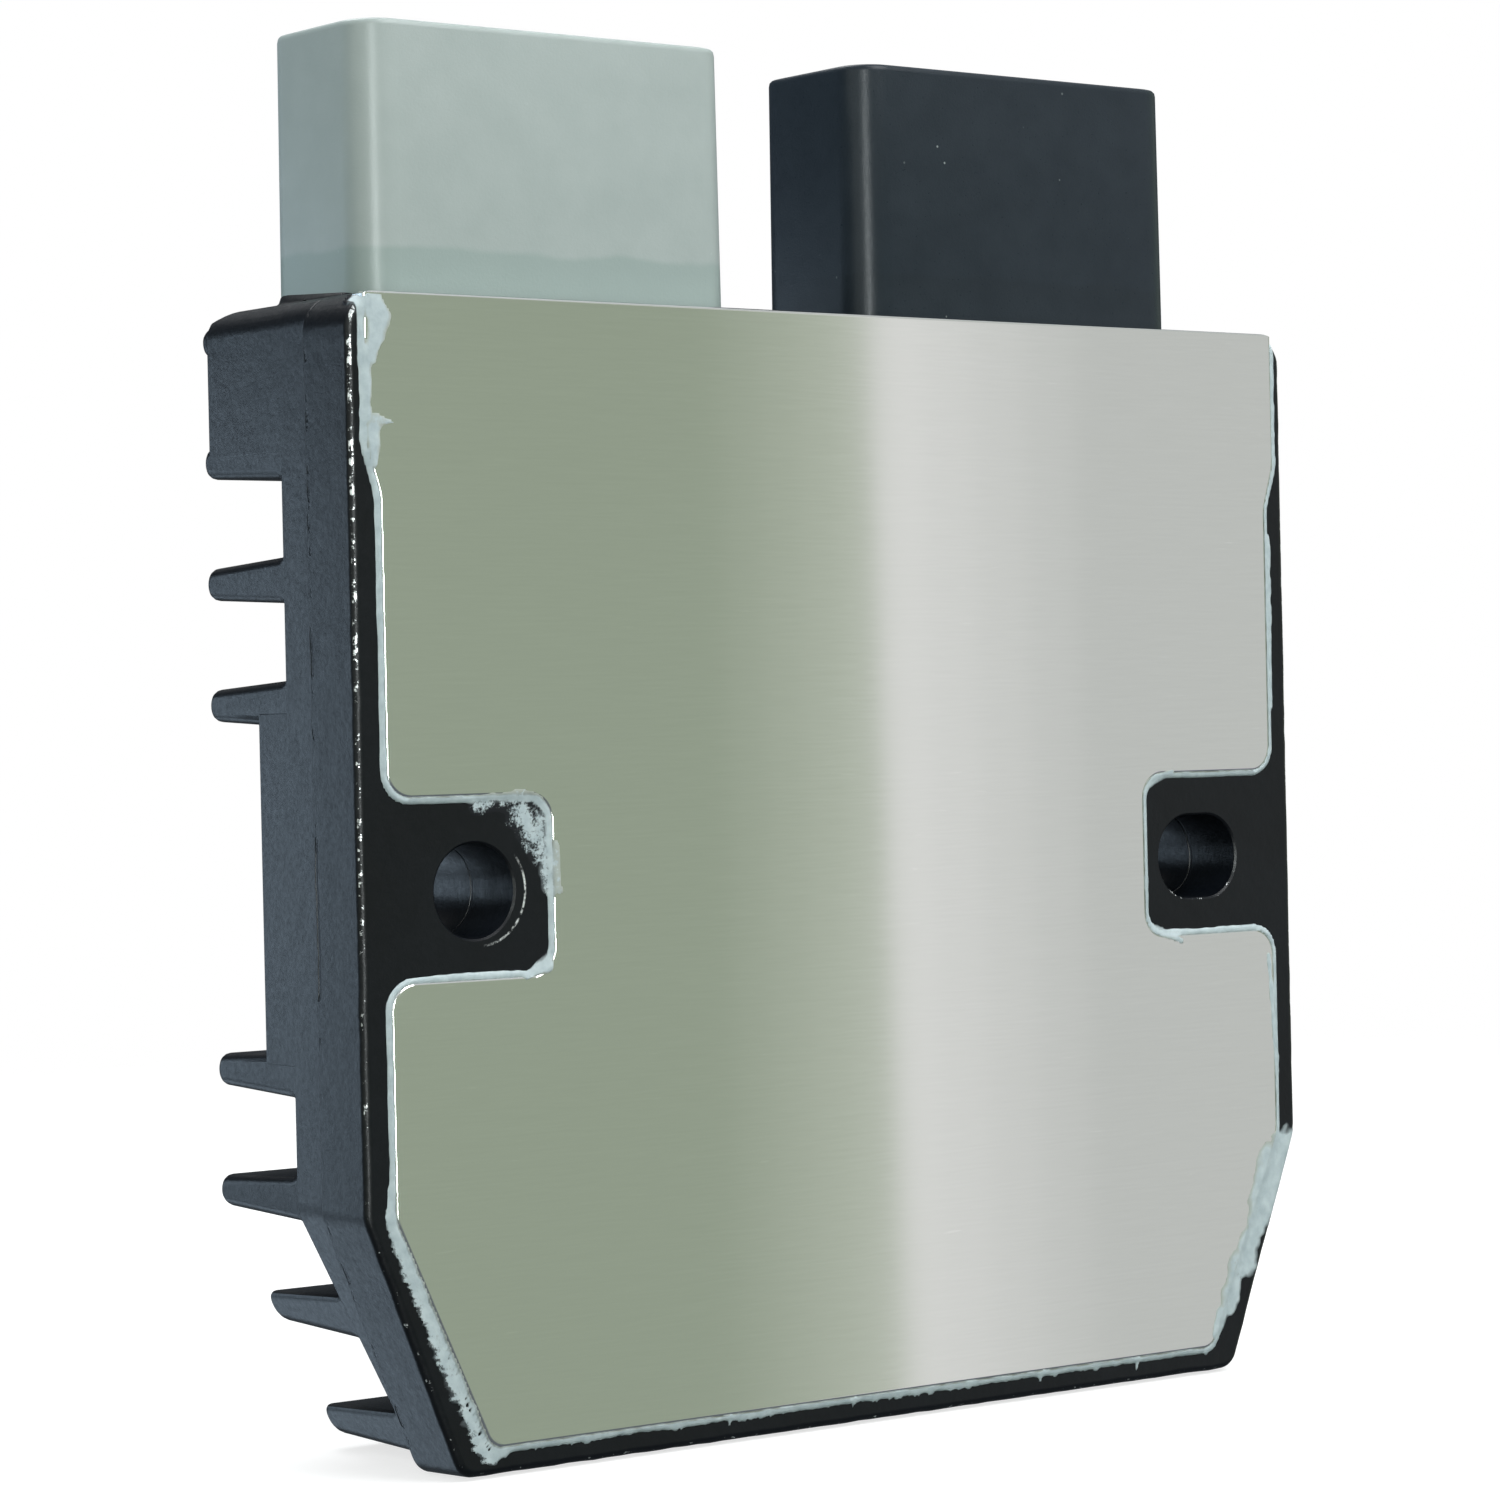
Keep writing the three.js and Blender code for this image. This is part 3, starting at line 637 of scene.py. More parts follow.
SLOT_MATERIALS = {
    "cast_black": CAST,
    "brushed_plate": PLATE,
    "sealant": SEALANT,
    "grey_plastic": moulded("grey_plastic", *GREY_TONES, (0.30, 0.40), GREY_FOOT_SHADE, 0.25, 0.35),
    "black_plastic": moulded("black_plastic", *BLACK_TONES, (0.27, 0.38), BLACK_FOOT_SHADE, 0.45, 0.2),
    "tinned": plain_metal("tinned_blade", *TIN_TONES, (0.22, 0.36), (1, 1, 0.1)),
    "copper": plain_metal("copper_bar", *COPPER_TONES, (0.25, 0.42), (0.1, 1, 1)),
    "film": resin("thermal_film", rgb(0.50, 0.22, 0.06), rgb(0.60, 0.28, 0.08), (0.25, 0.4), 0.01),
    "resin": resin("chip_resin", rgb(0.008, 0.009, 0.010), rgb(0.014, 0.015, 0.017), (0.45, 0.65), 0.02),
    "potting": resin("potting_resin", rgb(0.035, 0.037, 0.040), rgb(0.050, 0.053, 0.056), (0.22, 0.4), 0.02),
    "power_board": circuit_board("power_board_mask", *POWER_MASK, PAD),
    "control_board": circuit_board("control_board_mask", *CONTROL_MASK, PAD),
    "tantalum": striped_capacitor(),
}


# ---- carried-over CAD nodes: their material and a small edge bevel ----
def dress_nodes():
    slots = {row["node"]: row["material_slot"] for row in frame["record"]["subparts"]}
    for name, piece in frame["nodes"].items():
        piece.data.materials.clear()
        piece.data.materials.append(SLOT_MATERIALS[slots[name]])
        weld = piece.modifiers.new("weld", "WELD")
        weld.merge_threshold = SLIVER * MM
        bevel = piece.modifiers.new("edges", "BEVEL")
        bevel.width = CAD_BEVEL * MM
        bevel.segments = 2
        bevel.limit_method = "ANGLE"
        bevel.angle_limit = math.radians(40)


# ---- housing: one casting of flange, floor, header, bosses and fins ----
def rear_half_width():
    """The half width of the housing's rear as a function of height."""
    points = rounded(rear_corners())
    right = sorted((z, x) for x, z in points if x > 0)
    heights, widths = zip(*right)
    return lambda z: float(np.interp(z, heights, widths))


def fin(z, half_width):
    """A tapered fin along X with a full round tip, filleted roots and ends that follow half_width."""
    foot = FIN_ROOT_HALF + FIN_FILLET
    buried = WEB_Y - 0.03
    profile = [
        (WEB_Y - 1, z - foot, 0),
        (buried, z - foot, 0),
        (buried, z - FIN_ROOT_HALF, FIN_FILLET),
        (FIN_TIP_Y, z - FIN_TIP_HALF, FIN_TIP_HALF * FULL_ROUND),
        (FIN_TIP_Y, z + FIN_TIP_HALF, FIN_TIP_HALF * FULL_ROUND),
        (buried, z + FIN_ROOT_HALF, FIN_FILLET),
        (buried, z + foot, 0),
        (WEB_Y - 1, z + foot, 0),
    ]

    def place(end, y, at_z):
        side, back = end
        at_z = max(at_z, FLOOR_Z + 0.02)
        return (side * (half_width(at_z) - back), y, at_z)

    rounding = rounded_end(0.05, FIN_END_ROUNDING, 1)
    levels = [((-1, back), inset) for back, inset in rounding]
    levels += [((1, back), inset) for back, inset in rounding[::-1]]
    return prism(profile, levels, place, steps=6)


def fins():
    full_width = rear_half_width()
    made = []
    for i in range(FIN_COUNT):
        z = FIN_TOP_Z - i * FIN_PITCH
        between_bosses = BOSS_Z[0] + FIN_ROOT_HALF < z < BOSS_Z[1] - FIN_ROOT_HALF
        made.append(fin(z, (lambda _: BOSS_INNER_X) if between_bosses else full_width))
    return made


def boss(side):
    edge = BODY_SIDE_X - REAR_INSET - 0.02
    low, high = BOSS_Z
    inner, outer = (BOSS_INNER_X, BOSS_RADIUS), (edge, 0.3)
    corners = [(x, z, r) for (x, r), z in ((inner, low), (outer, low), (outer, high), (inner, high))]
    placed = corners if side > 0 else [(-x, z, r) for x, z, r in reversed(corners)]
    return prism(placed, rounded_ends((CAVITY_Y + OVERLAP, BOSS_Y), 0.1, 0.5))


def header():
    """The tall block behind the plugs, rounded like the housing's top corners."""
    edge, top = BODY_SIDE_X - REAR_INSET - 0.01, BODY_TOP_Z - 0.01
    corners = mirrored([(edge, HEADER_BOTTOM_Z, 0.4), (edge, top, BODY_RADIUS - REAR_INSET)])
    return prism(corners, rounded_ends((CAVITY_Y + OVERLAP, HEADER_Y), 0.1, 0.2))


def bolt_hole(corners):
    """A cut along Y through a boss, with a small chamfer at each end."""
    grown = -HOLE_CHAMFER - CLEAR
    narrow = [(RIM_Y + HOLE_CHAMFER, 0.0), (BOSS_Y - HOLE_CHAMFER, 0.0)]
    return prism(corners, [(RIM_Y - CLEAR, grown), *narrow, (BOSS_Y + CLEAR, grown)], steps=12)


def shroud_slot(node):
    """The slot in the header's top wall that a shroud slides into from the front."""
    x0, x1, _, back = shroud_sides(node)
    left, right = x0 - SHROUD_GAP, x1 + SHROUD_GAP
    back += SHROUD_GAP
    radius = SHROUD_RADIUS + SHROUD_GAP
    corners = [(left, RIM_Y, 0), (right, RIM_Y, 0), (right, back, radius), (left, back, radius)]
    return prism(corners, [(HEADER_ROOM_Z[1] - CLEAR, 0), (BODY_TOP_Z + CLEAR, 0)], along_z)


def slope_cut():
    """What is cut away above the header's sloping rear edge."""
    near, far, top = HEADER_SLOPE_Y, FIN_TIP_Y + CLEAR, BODY_TOP_Z
    fall = HEADER_SLOPE_DROP * (far - near) / (FIN_TIP_Y - near)
    profile = [(near, top, 0), (far, top - fall, 0), (far, top + CLEAR, 0), (near, top + CLEAR, 0)]
    wide = BODY_SIDE_X + CLEAR
    return prism(profile, [(-wide, 0), (wide, 0)], along_x)


def flange():
    """The uneven, drafted flange round the plate."""
    thickness = FLANGE_Y - RIM_Y
    ends = rounded_ends((RIM_Y, FLANGE_Y), RIM_ROUNDING, 0.3)
    drafted = [(y, inset + FLANGE_DRAFT * (FLANGE_Y - y) / thickness) for y, inset in ends]
    return prism(body_corners(), drafted, wave=RIM_WAVE)


def room_cuts():
    """The plate's recess, the cavity under it and the room inside the header."""
    recess = offset(plate_corners(BODY_TOP_Z + 2), GROOVE)
    cavity = offset(plate_corners(HEADER_ROOM_Z[1] + 2), -2)
    header_room = rectangle((-HEADER_ROOM_X, HEADER_ROOM_X), HEADER_ROOM_Z)
    return [
        prism(recess, [(RIM_Y - CLEAR, 0), (LEDGE_Y, 0)]),
        prism(cavity, [(LEDGE_Y - OVERLAP, 0), (CAVITY_Y, 0)]),
        prism(header_room, [(LEDGE_Y - OVERLAP, 0), (HEADER_ROOM_Y, 0)]),
    ]


def round_hole():
    half = HOLE_RADIUS
    centred = rectangle((-half, half), (-half, half), half * HOLE_ROUND)
    return bolt_hole([(x + HOLE_X, z, r) for x, z, r in centred])


def slotted_hole():
    long, tall = SLOT_LENGTH / 2, SLOT_HEIGHT / 2
    return bolt_hole(rectangle((SLOT_X - long, SLOT_X + long), (-tall, tall), tall * FULL_ROUND))


def build_housing():
    floor = prism(rear_corners(), rounded_ends((RIM_Y + 1, WEB_Y), 0.1, 0.4))
    joins = [floor, header(), boss(-1), boss(1), *fins()]
    slots = [shroud_slot("ac_connector_shroud"), shroud_slot("dc_connector_shroud")]
    cuts = [*room_cuts(), slope_cut(), *slots, round_hole(), slotted_hole()]
    steps = [("UNION", shape) for shape in joins] + [("DIFFERENCE", shape) for shape in cuts]
    mesh = finish_bmesh(carved(flange(), steps), bpy.data.meshes.new("cast_housing"))
    mesh.materials.append(CAST)
    piece = add_object("cast_housing", mesh)
    flat_shaded_faces(piece)
    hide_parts("heatsink_housing")


# ---- base plate ----
def build_plate():
    """The plate, limited to the housing's outline, with a UV map that runs along its brushing."""
    front, back = PLATE_LOW.y / MM, PLATE_HIGH.y / MM
    plate = prism(plate_corners(PLATE_TOP_Z), rounded_ends((front, back), 0.25, 0.1), steps=10)
    limit = prism(body_corners(), [(front - CLEAR, 0), (back + CLEAR, 0)], steps=10)
    work = carved(plate, [("INTERSECT", limit)])
    bmesh.ops.triangulate(work, faces=[f for f in work.faces if len(f.verts) > 4])
    brush = work.loops.layers.uv.new("brush")
    for face in work.faces:
        for loop in face.loops:
            loop[brush].uv = (loop.vert.co.z / MM / 100, loop.vert.co.x / MM / 100)
    mesh = finish_bmesh(work, bpy.data.meshes.new("brushed_plate"))
    mesh.materials.append(PLATE)
    piece = add_object("brushed_plate", mesh)
    flat_shaded_faces(piece)
    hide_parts("base_plate")


# ---- sealant: a height field along the plate's edge ----
SEAL_STEP = 0.2
SEAL_DEPTH = 0.8
# each smear is a stroke from one (x, z, radius) to another, with its strength and dryness
SMEARS = [
    ((-44.0, 42.6, 0.9), (-43.2, 40.8, 1.0), 0.75, 0.0),
    ((-43.2, 40.8, 1.0), (-43.9, 37.9, 0.45), 0.65, 0.0),
    ((-44.4, 38.5, 0.45), (-44.4, 33.6, 0.4), 0.5, 0.0),
    ((-43.7, 33.6, 0.45), (-42.3, 33.4, 0.15), 0.5, 0.5),
    ((-43.9, 33.0, 0.7), (-43.9, 30.4, 0.3), 0.6, 0.2),
    ((-35.8, 6.2, 0.7), (-32.2, 6.2, 0.9), 0.55, 1.0),
    ((-31.8, 5.6, 1.6), (-30.2, 2.6, 1.3), 0.85, 1.0),
    ((-30.2, 4.8, 0.9), (-29.6, 0.2, 0.7), 0.8, 0.8),
    ((-28.9, 3.2, 0.3), (-28.8, -0.2, 0.4), 0.4, 0.8),
    ((-29.9, -5.5, 0.6), (-31.8, -6.3, 0.3), 0.8, 0.0),
    ((44.6, -24.4, 1.9), (43.8, -27.4, 2.2), 1.0, 0.0),
    ((42.4, -25.2, 1.3), (41.2, -29.0, 1.5), 0.8, 0.2),
    ((42.0, -28.4, 1.6), (40.9, -30.3, 1.3), 0.9, 0.0),
    ((40.0, -31.8, 1.35), (39.5, -33.6, 1.3), 0.9, 0.0),
    ((38.4, -33.2, 0.9), (37.3, -36.6, 0.9), 0.6, 0.3),
    ((38.3, -35.2, 1.05), (37.6, -36.8, 1.0), 0.9, 0.0),
    ((36.8, -37.4, 0.9), (36.0, -39.0, 0.45), 0.8, 0.0),
    ((43.9, 26.0, 0.3), (43.9, 12.0, 0.22), 0.6, 0.0),
    ((32.4, 6.9, 0.3), (30.0, 6.0, 0.45), 0.6, 0.3),
    ((30.0, -5.6, 0.45), (33.0, -6.8, 0.3), 0.6, 0.3),
    ((42.8, -8.4, 0.28), (43.6, -18.0, 0.35), 0.6, 0.0),
    ((27.4, -40.1, 0.3), (27.2, -41.0, 0.12), 0.7, 0.0),
    ((17.2, -40.1, 0.28), (16.9, -40.8, 0.1), 0.7, 0.0),
    ((-2.0, -40.1, 0.28), (-2.2, -40.7, 0.1), 0.7, 0.0),
    ((-14.0, -40.1, 0.24), (-14.1, -40.8, 0.1), 0.7, 0.0),
]


def signed_distance(points, outline):
    """Distance of each point from the closed outline, negative inside it."""
    a = np.array(outline)
    b = np.roll(a, -1, axis=0)
    best = np.full(len(points), 1e9)
    inside = np.zeros(len(points), bool)
    for (ax, az), (bx, bz) in zip(a, b):
        ex, ez = bx - ax, bz - az
        length = ex * ex + ez * ez
        if length < 1e-12:
            continue
        px, pz = points[:, 0] - ax, points[:, 1] - az
        t = np.clip((px * ex + pz * ez) / length, 0, 1)
        best = np.minimum(best, np.hypot(px - t * ex, pz - t * ez))
        crosses = (az > points[:, 1]) != (bz > points[:, 1])
        if abs(ez) > 1e-12:
            inside ^= crosses & (points[:, 0] < ex * pz / ez + ax)
    return np.where(inside, -best, best)


def wobble(points, scale_x, scale_z, seed):
    return np.array([noise.noise(Vector((x * scale_x, z * scale_z, seed))) for x, z in points])


def smear_reach(points, start, end):
    """How far inside a tapered stroke each point lies: 1 on its middle line and 0 at its edge."""
    x0, z0, start_radius = start
    x1, z1, end_radius = end
    along = np.array([x1 - x0, z1 - z0])
    offsets = points - np.array([x0, z0])
    t = np.clip(offsets @ along / (along @ along), 0, 1)
    distance = np.hypot(*(offsets - t[:, None] * along).T)
    return 1 - distance / (start_radius + t * (end_radius - start_radius))


def sealant_field(points, gap):
    """How much sealant lies at each point, from 0 where it starts up to about 1, and how dry it is.

    gap is each point's distance outside the plate's edge.
    """
    # the bead is wide and toothed on the left chamfer, most of all low down
    left_chamfer = np.clip((-20 - points[:, 1]) / 6, 0, 1) * np.clip((-33.8 - points[:, 0]) / 2, 0, 1)
    lower = np.clip((-26 - points[:, 1]) / 10, 0, 1)
    slow = wobble(points, 0.2, 0.2, 3.1)
    fine = wobble(points, 1.1, 1.4, 7.7)
    teeth = wobble(points, 0.5, 2.6, 1.3) + 0.6 * wobble(points, 1.0, 6.0, 9.2)
    half = 0.26 + 0.07 * slow + left_chamfer * (0.36 + 0.16 * lower)
    middle = half - 0.03
    ragged = np.clip((gap - 0.15) / 0.5, 0, 1)
    # tufts stick out of it along the bottom edge
    along_bottom = np.clip((-39.8 - points[:, 1]) / 0.4, 0, 1) * (1 - left_chamfer)
    tufts = along_bottom * ragged * (wobble(points, 2.8, 0.5, 5.5) + wobble(points, 0.35, 0.2, 2.2))
    field = 1 - np.abs(gap - middle) / half + 0.18 * fine
    field += 0.6 * left_chamfer * teeth * ragged + 0.9 * tufts
    # a dark seam shows between the bead and its smeared outer part
    seam = np.exp(-((gap - 0.42) / 0.09) ** 2) * left_chamfer * lower
    field = field - 0.7 * seam * (0.7 + fine)
    dry = np.maximum(0.9 * left_chamfer, 0.7 * along_bottom) * np.clip((gap - 0.45) / 0.5, 0, 1)
    for start, end, strength, dryness in SMEARS:
        added = strength * (smear_reach(points, start, end) + 0.3 * fine + 0.2 * slow)
        share = np.clip(4 * (added - field), 0, 1)
        dry = dry + (dryness - dry) * share
        field = np.maximum(field, added)
    return np.clip(field, -1.0, 1.0), dry


def sealant_near_edge(grid, gap, rim):
    """sealant_field where there can be sealant on the housing, and none elsewhere."""
    near = np.abs(gap - 0.6) < 2.2
    for start, end, _, _ in SMEARS:
        near |= smear_reach(grid, start, end) > -0.6
    near &= rim < -0.12
    field = np.full(len(grid), -1.0)
    dry = np.zeros(len(grid))
    field[near], dry[near] = sealant_field(grid[near], gap[near])
    return field, dry


def surface_below(over_plate, rim):
    """The depth of what the sealant lies on: the plate, or the rim with its rounded edge."""
    base = over_plate * PLATE_LOW.y / MM + (1 - over_plate) * RIM_Y
    past_edge = np.clip(RIM_ROUNDING + FLANGE_DRAFT + rim, 0, RIM_ROUNDING)
    edge_fall = RIM_ROUNDING - np.sqrt(RIM_ROUNDING**2 - past_edge**2)
    return base + edge_fall * (1 - over_plate)


def build_sealant():
    xs = np.arange(BODY_LOW.x / MM, BODY_SIDE_X, SEAL_STEP)
    zs = np.arange(PLATE_LOW.z / MM - 2.0, PLATE_TOP_Z - 0.05, SEAL_STEP)
    grid = np.stack(np.meshgrid(xs, zs, indexing="ij"), -1).reshape(-1, 2)
    gap = signed_distance(grid, rounded(plate_corners(PLATE_TOP_Z + 30), 6))
    rim = signed_distance(grid, rounded(body_corners(), 6))
    field, dry = sealant_near_edge(grid, gap, rim)
    over_plate = np.clip((0.12 - gap) / 0.2, 0, 1)
    base = surface_below(over_plate, rim)
    # it stands highest over the groove, and falls below the surface where there is none
    bead = np.exp(-((gap - 0.15) / 0.25) ** 2)
    crown = (0.05 + 0.08 * bead) * (1 - 0.7 * dry)
    height = np.where(field > 0, crown * np.sqrt(np.clip(field, 0, 1)), 0.6 * field)
    shape = (len(xs), len(zs))
    show = (field > -0.4).reshape(shape)
    keep = show[:-1, :-1] | show[1:, :-1] | show[:-1, 1:] | show[1:, 1:]
    y_top, y_back = (base - height).reshape(shape), (base + SEAL_DEPTH).reshape(shape)
    mesh, cells = height_solid("sealant_bead", xs, zs, y_top, y_back, keep)
    for key, values in (("thickness", np.clip(field, 0, 1)), ("dryness", dry), ("over_plate", over_plate)):
        attribute = mesh.attributes.new(key, "FLOAT", "POINT")
        attribute.data.foreach_set("value", values.reshape(shape)[cells[:, 0], cells[:, 1]])
    mesh.materials.append(SEALANT)
    piece = add_object("sealant_bead", mesh)
    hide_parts("plate_sealant")


def height_solid(name, xs, zs, y_top, y_back, keep):
    """A closed solid between two height fields over a grid's kept cells, and each vertex's grid place."""
    index = {}
    vertices = []
    cells = []

    def at(i, k, back):
        key = (i, k, back)
        if key not in index:
            index[key] = len(vertices)
            y = y_back[i, k] if back else y_top[i, k]
            vertices.append((xs[i] * MM, y * MM, zs[k] * MM))
            cells.append((i, k))
        return index[key]

    faces = []
    for i, k in zip(*np.nonzero(keep)):
        ring = [(i, k), (i + 1, k), (i + 1, k + 1), (i, k + 1)]
        faces.append([at(*p, False) for p in ring])
        faces.append([at(*p, True) for p in reversed(ring)])
        beside = [(i, k - 1), (i + 1, k), (i, k + 1), (i - 1, k)]
        for n, (bi, bk) in enumerate(beside):
            inside = 0 <= bi < keep.shape[0] and 0 <= bk < keep.shape[1] and keep[bi, bk]
            if not inside:
                p, q = ring[n], ring[(n + 1) % 4]
                faces.append([at(*q, False), at(*p, False), at(*p, True), at(*q, True)])
    mesh = mesh_from(name, vertices, faces)
    work = bmesh.new()
    work.from_mesh(mesh)
    return finish_bmesh(work, mesh, 60), np.array(cells)


# ---- plug shrouds ----
RAMP_Z = (52.0, 57.0)
RAMP_HALF_WIDTH = 4.0
RAMP_DEPTH = 1.25
RAMP_LEAN = 0.3
KEY_HALF = 0.6
KEY_BACK = 2.6  # how far behind the shroud's middle the ribs inside it stand
KEY_DROP = 3.0
SUNK = 0.6  # how far ramps reach into their wall
# the foot bead's section as (out from the shroud's wall, up from the header's top)
BEAD_SECTION = [(-0.1, -0.6), (0.9, -0.6), (0.9, 0.0), (0.55, 0.07), (0.25, 0.28), (0.08, 0.75), (-0.1, 0.8)]


def shroud_sides(node):
    """A shroud's left, right, front and back above the lip round its foot."""
    low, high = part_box(node)
    return low.x / MM + SHROUD_LIP, high.x / MM - SHROUD_LIP, low.y / MM, SHROUD_BACK_Y


def shroud_section(foot, top):
    """(inset, height) up the outside of a shroud's wall, over its rounded top and down to its floor."""
    draft, wall, floor = SHROUD_DRAFT, SHROUD_WALL, SHROUD_FLOOR_Z
    outside = [(0.0, foot), (0.0, SHROUD_DRAFT_Z), (draft, top - 0.5)]
    outer_edge = [(draft + 0.06, top - 0.2), (draft + 0.2, top - 0.05), (draft + 0.4, top)]
    inner_edge = [(wall - 0.5, top), (wall - 0.3, top - 0.06), (wall - 0.15, top - 0.25)]
    inside = [(wall - 0.1, top - 0.6), (wall, floor + 0.5), (wall + 0.15, floor + 0.15), (wall + 0.5, floor)]
    return outside + outer_edge + inner_edge + inside


def ring_points(x0, x1, y0, y1, radius, steps=8):
    """A rounded rectangle in the XY plane, anticlockwise from above."""
    points = []
    right, left, back, front = x1 - radius, x0 + radius, y1 - radius, y0 + radius
    for cx, cy, start in ((right, front, -90), (right, back, 0), (left, back, 90), (left, front, 180)):
        for k in range(steps + 1):
            angle = math.radians(start + 90 * k / steps)
            points.append((cx + radius * math.cos(angle), cy + radius * math.sin(angle)))
    return points


def build_shroud(node, name, slot):
    """A deep rounded cup with the ramp for the plug's latch behind it and a rib inside each end."""
    x0, x1, y0, y1 = shroud_sides(node)
    low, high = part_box(node)
    top = high.z / MM
    work = bmesh.new()
    rings = []
    for inset, z in shroud_section(low.z / MM, top):
        radius = SHROUD_RADIUS - inset
        points = ring_points(x0 + inset, x1 - inset, y0 + inset, y1 - inset, radius)
        rings.append([work.verts.new((x * MM, y * MM, z * MM)) for x, y in points])
    capped_skin(work, rings)
    mesh = finish_bmesh(work, bpy.data.meshes.new(name), 40)
    mesh.materials.append(SLOT_MATERIALS[slot])
    piece = add_object(name, mesh)
    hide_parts(node)
    build_ramp(name + "_lock", (x0 + x1) / 2, y1, slot)
    inward = SHROUD_WALL - 0.2
    for side, x in (("left", x0 + inward), ("right", x1 - inward)):
        build_key(f"{name}_key_{side}", x, (y0 + y1) / 2 + KEY_BACK, top - KEY_DROP, slot)


def away_from_walls(point, centre, half_sizes):
    """The way out at a point of a shroud's outline: square to its wall, and diagonal at a corner."""
    away = Vector(point) - centre
    reach = [half - SHROUD_RADIUS for half in half_sizes]
    return Vector([math.copysign(1, a) if abs(a) > r else 0 for a, r in zip(away, reach)]).normalized()


def bead_size(x, y, front):
    """The bead's size here as a share of its section: nothing in front, and uneven round the back."""
    swell = min(1.0, max(0.0, (y - front - 1) / 4))
    return swell * (0.8 + 0.5 * noise.noise(Vector((x * 0.35, y * 0.35, 0))))


def build_foot_bead(name, node):
    """Potting that has crept up the back and sides of a shroud where it leaves the header."""
    x0, x1, y0, y1 = shroud_sides(node)
    centre = Vector(((x0 + x1) / 2, (y0 + y1) / 2))
    half_sizes = ((x1 - x0) / 2, (y1 - y0) / 2)
    work = bmesh.new()
    rings = []
    for out, up in BEAD_SECTION:
        ring = []
        for x, y in ring_points(x0, x1, y0, y1, SHROUD_RADIUS):
            way = away_from_walls((x, y), centre, half_sizes)
            size = bead_size(x, y, y0)
            spread = out * size if out > 0 else out
            height = up * size if up > 0 else up
            at = Vector((x + way.x * spread, y + way.y * spread, BODY_TOP_Z + height))
            ring.append(work.verts.new(at * MM))
        rings.append(ring)
    skin(work, rings, closed=True)
    mesh = finish_bmesh(work, bpy.data.meshes.new(name), 60)
    mesh.materials.append(CAST)
    piece = add_object(name, mesh)


def soft_box(name, low, high, slot, rounding, shape=None):
    """A box with rounded edges, whose corners shape may move first."""
    work = bmesh.new()
    bmesh.ops.create_cube(work, size=1.0)
    for v in work.verts:
        at = Vector([(low[i] if v.co[i] < 0 else high[i]) for i in range(3)])
        v.co = (shape(at) if shape else at) * MM
    edges = list(work.edges)
    bmesh.ops.bevel(work, geom=edges, offset=rounding * MM, segments=3, profile=0.5, affect="EDGES")
    mesh = finish_bmesh(work, bpy.data.meshes.new(name), 60)
    mesh.materials.append(SLOT_MATERIALS[slot])
    piece = add_object(name, mesh)


def build_ramp(name, x, y, slot):
    """The wedge that the plug's latch snaps over."""
    foot, top = RAMP_Z

    def lean(at):
        outer_top = at.z > (foot + top) / 2 and at.y > y
        return Vector((at.x, y - RAMP_LEAN if outer_top else at.y, at.z))

    low = (x - RAMP_HALF_WIDTH, y - SUNK, foot)
    high = (x + RAMP_HALF_WIDTH, y + RAMP_DEPTH, top)
    soft_box(name, low, high, slot, 0.25, lean)


def build_key(name, x, y, top, slot):
    """A polarising rib inside the mouth."""
    low = (x - KEY_HALF, y - KEY_HALF, SHROUD_FLOOR_Z - OVERLAP)
    soft_box(name, low, (x + KEY_HALF, y + KEY_HALF, top), slot, 0.2)


# ---- camera, lights and floor ----
YAW, PITCH, ROLL = 38.0, 0.35, -1.25
CAMERA_AT = (-218.79, -266.1, 11.64)
LENS = 108.13
PLATE_EDGE_AZIMUTH = 39.8  # where the bright half of the plate's reflection starts
STRIP_ELEVATION, STRIP_HEIGHT = 4, 0.75
STRIP_DISTANCE = 0.61
STRIP_COLOUR = (1.0, 0.94, 0.96)
COOL_WHITE = (0.97, 0.99, 1.0)
BLUE_WHITE = (0.64, 0.82, 1.0)
FLOOR_RADIUS = 1.2
FLOOR_RINGS, FLOOR_AROUND = 24, 64
FLOOR_FADE = (150, 420)  # where the floor starts and ends fading into the white surround


def build_camera():
    data = bpy.data.cameras.new("camera")
    data.lens = LENS
    data.sensor_width = 36
    data.clip_start = 0.01
    data.clip_end = 50
    camera = bpy.data.objects.new("camera", data)
    bpy.context.scene.collection.objects.link(camera)
    turn_z = Matrix.Rotation(math.radians(-YAW), 4, "Z")
    tilt = Matrix.Rotation(math.radians(90 - PITCH), 4, "X")
    roll = Matrix.Rotation(math.radians(ROLL), 4, "Z")
    camera.matrix_world = Matrix.Translation(Vector(CAMERA_AT) * MM) @ turn_z @ tilt @ roll
    bpy.context.scene.camera = camera


def area_light(name, azimuth, elevation, distance, size, radiance, colour, lights_matt=True):
    """A softbox facing the object. Azimuth 0 is in front of the plate and 90 is to its right."""
    a, e = math.radians(azimuth), math.radians(elevation)
    at = Vector((math.sin(a) * math.cos(e), -math.cos(a) * math.cos(e), math.sin(e))) * distance
    data = bpy.data.lights.new(name, "AREA")
    data.shape = "RECTANGLE"
    data.size, data.size_y = size
    data.energy = radiance * math.pi * size[0] * size[1]
    data.color = colour
    light = bpy.data.objects.new(name, data)
    bpy.context.scene.collection.objects.link(light)
    light.matrix_world = Matrix.Translation(at) @ at.to_track_quat("Z", "Y").to_matrix().to_4x4()
    light.visible_camera = False
    light.visible_diffuse = lights_matt


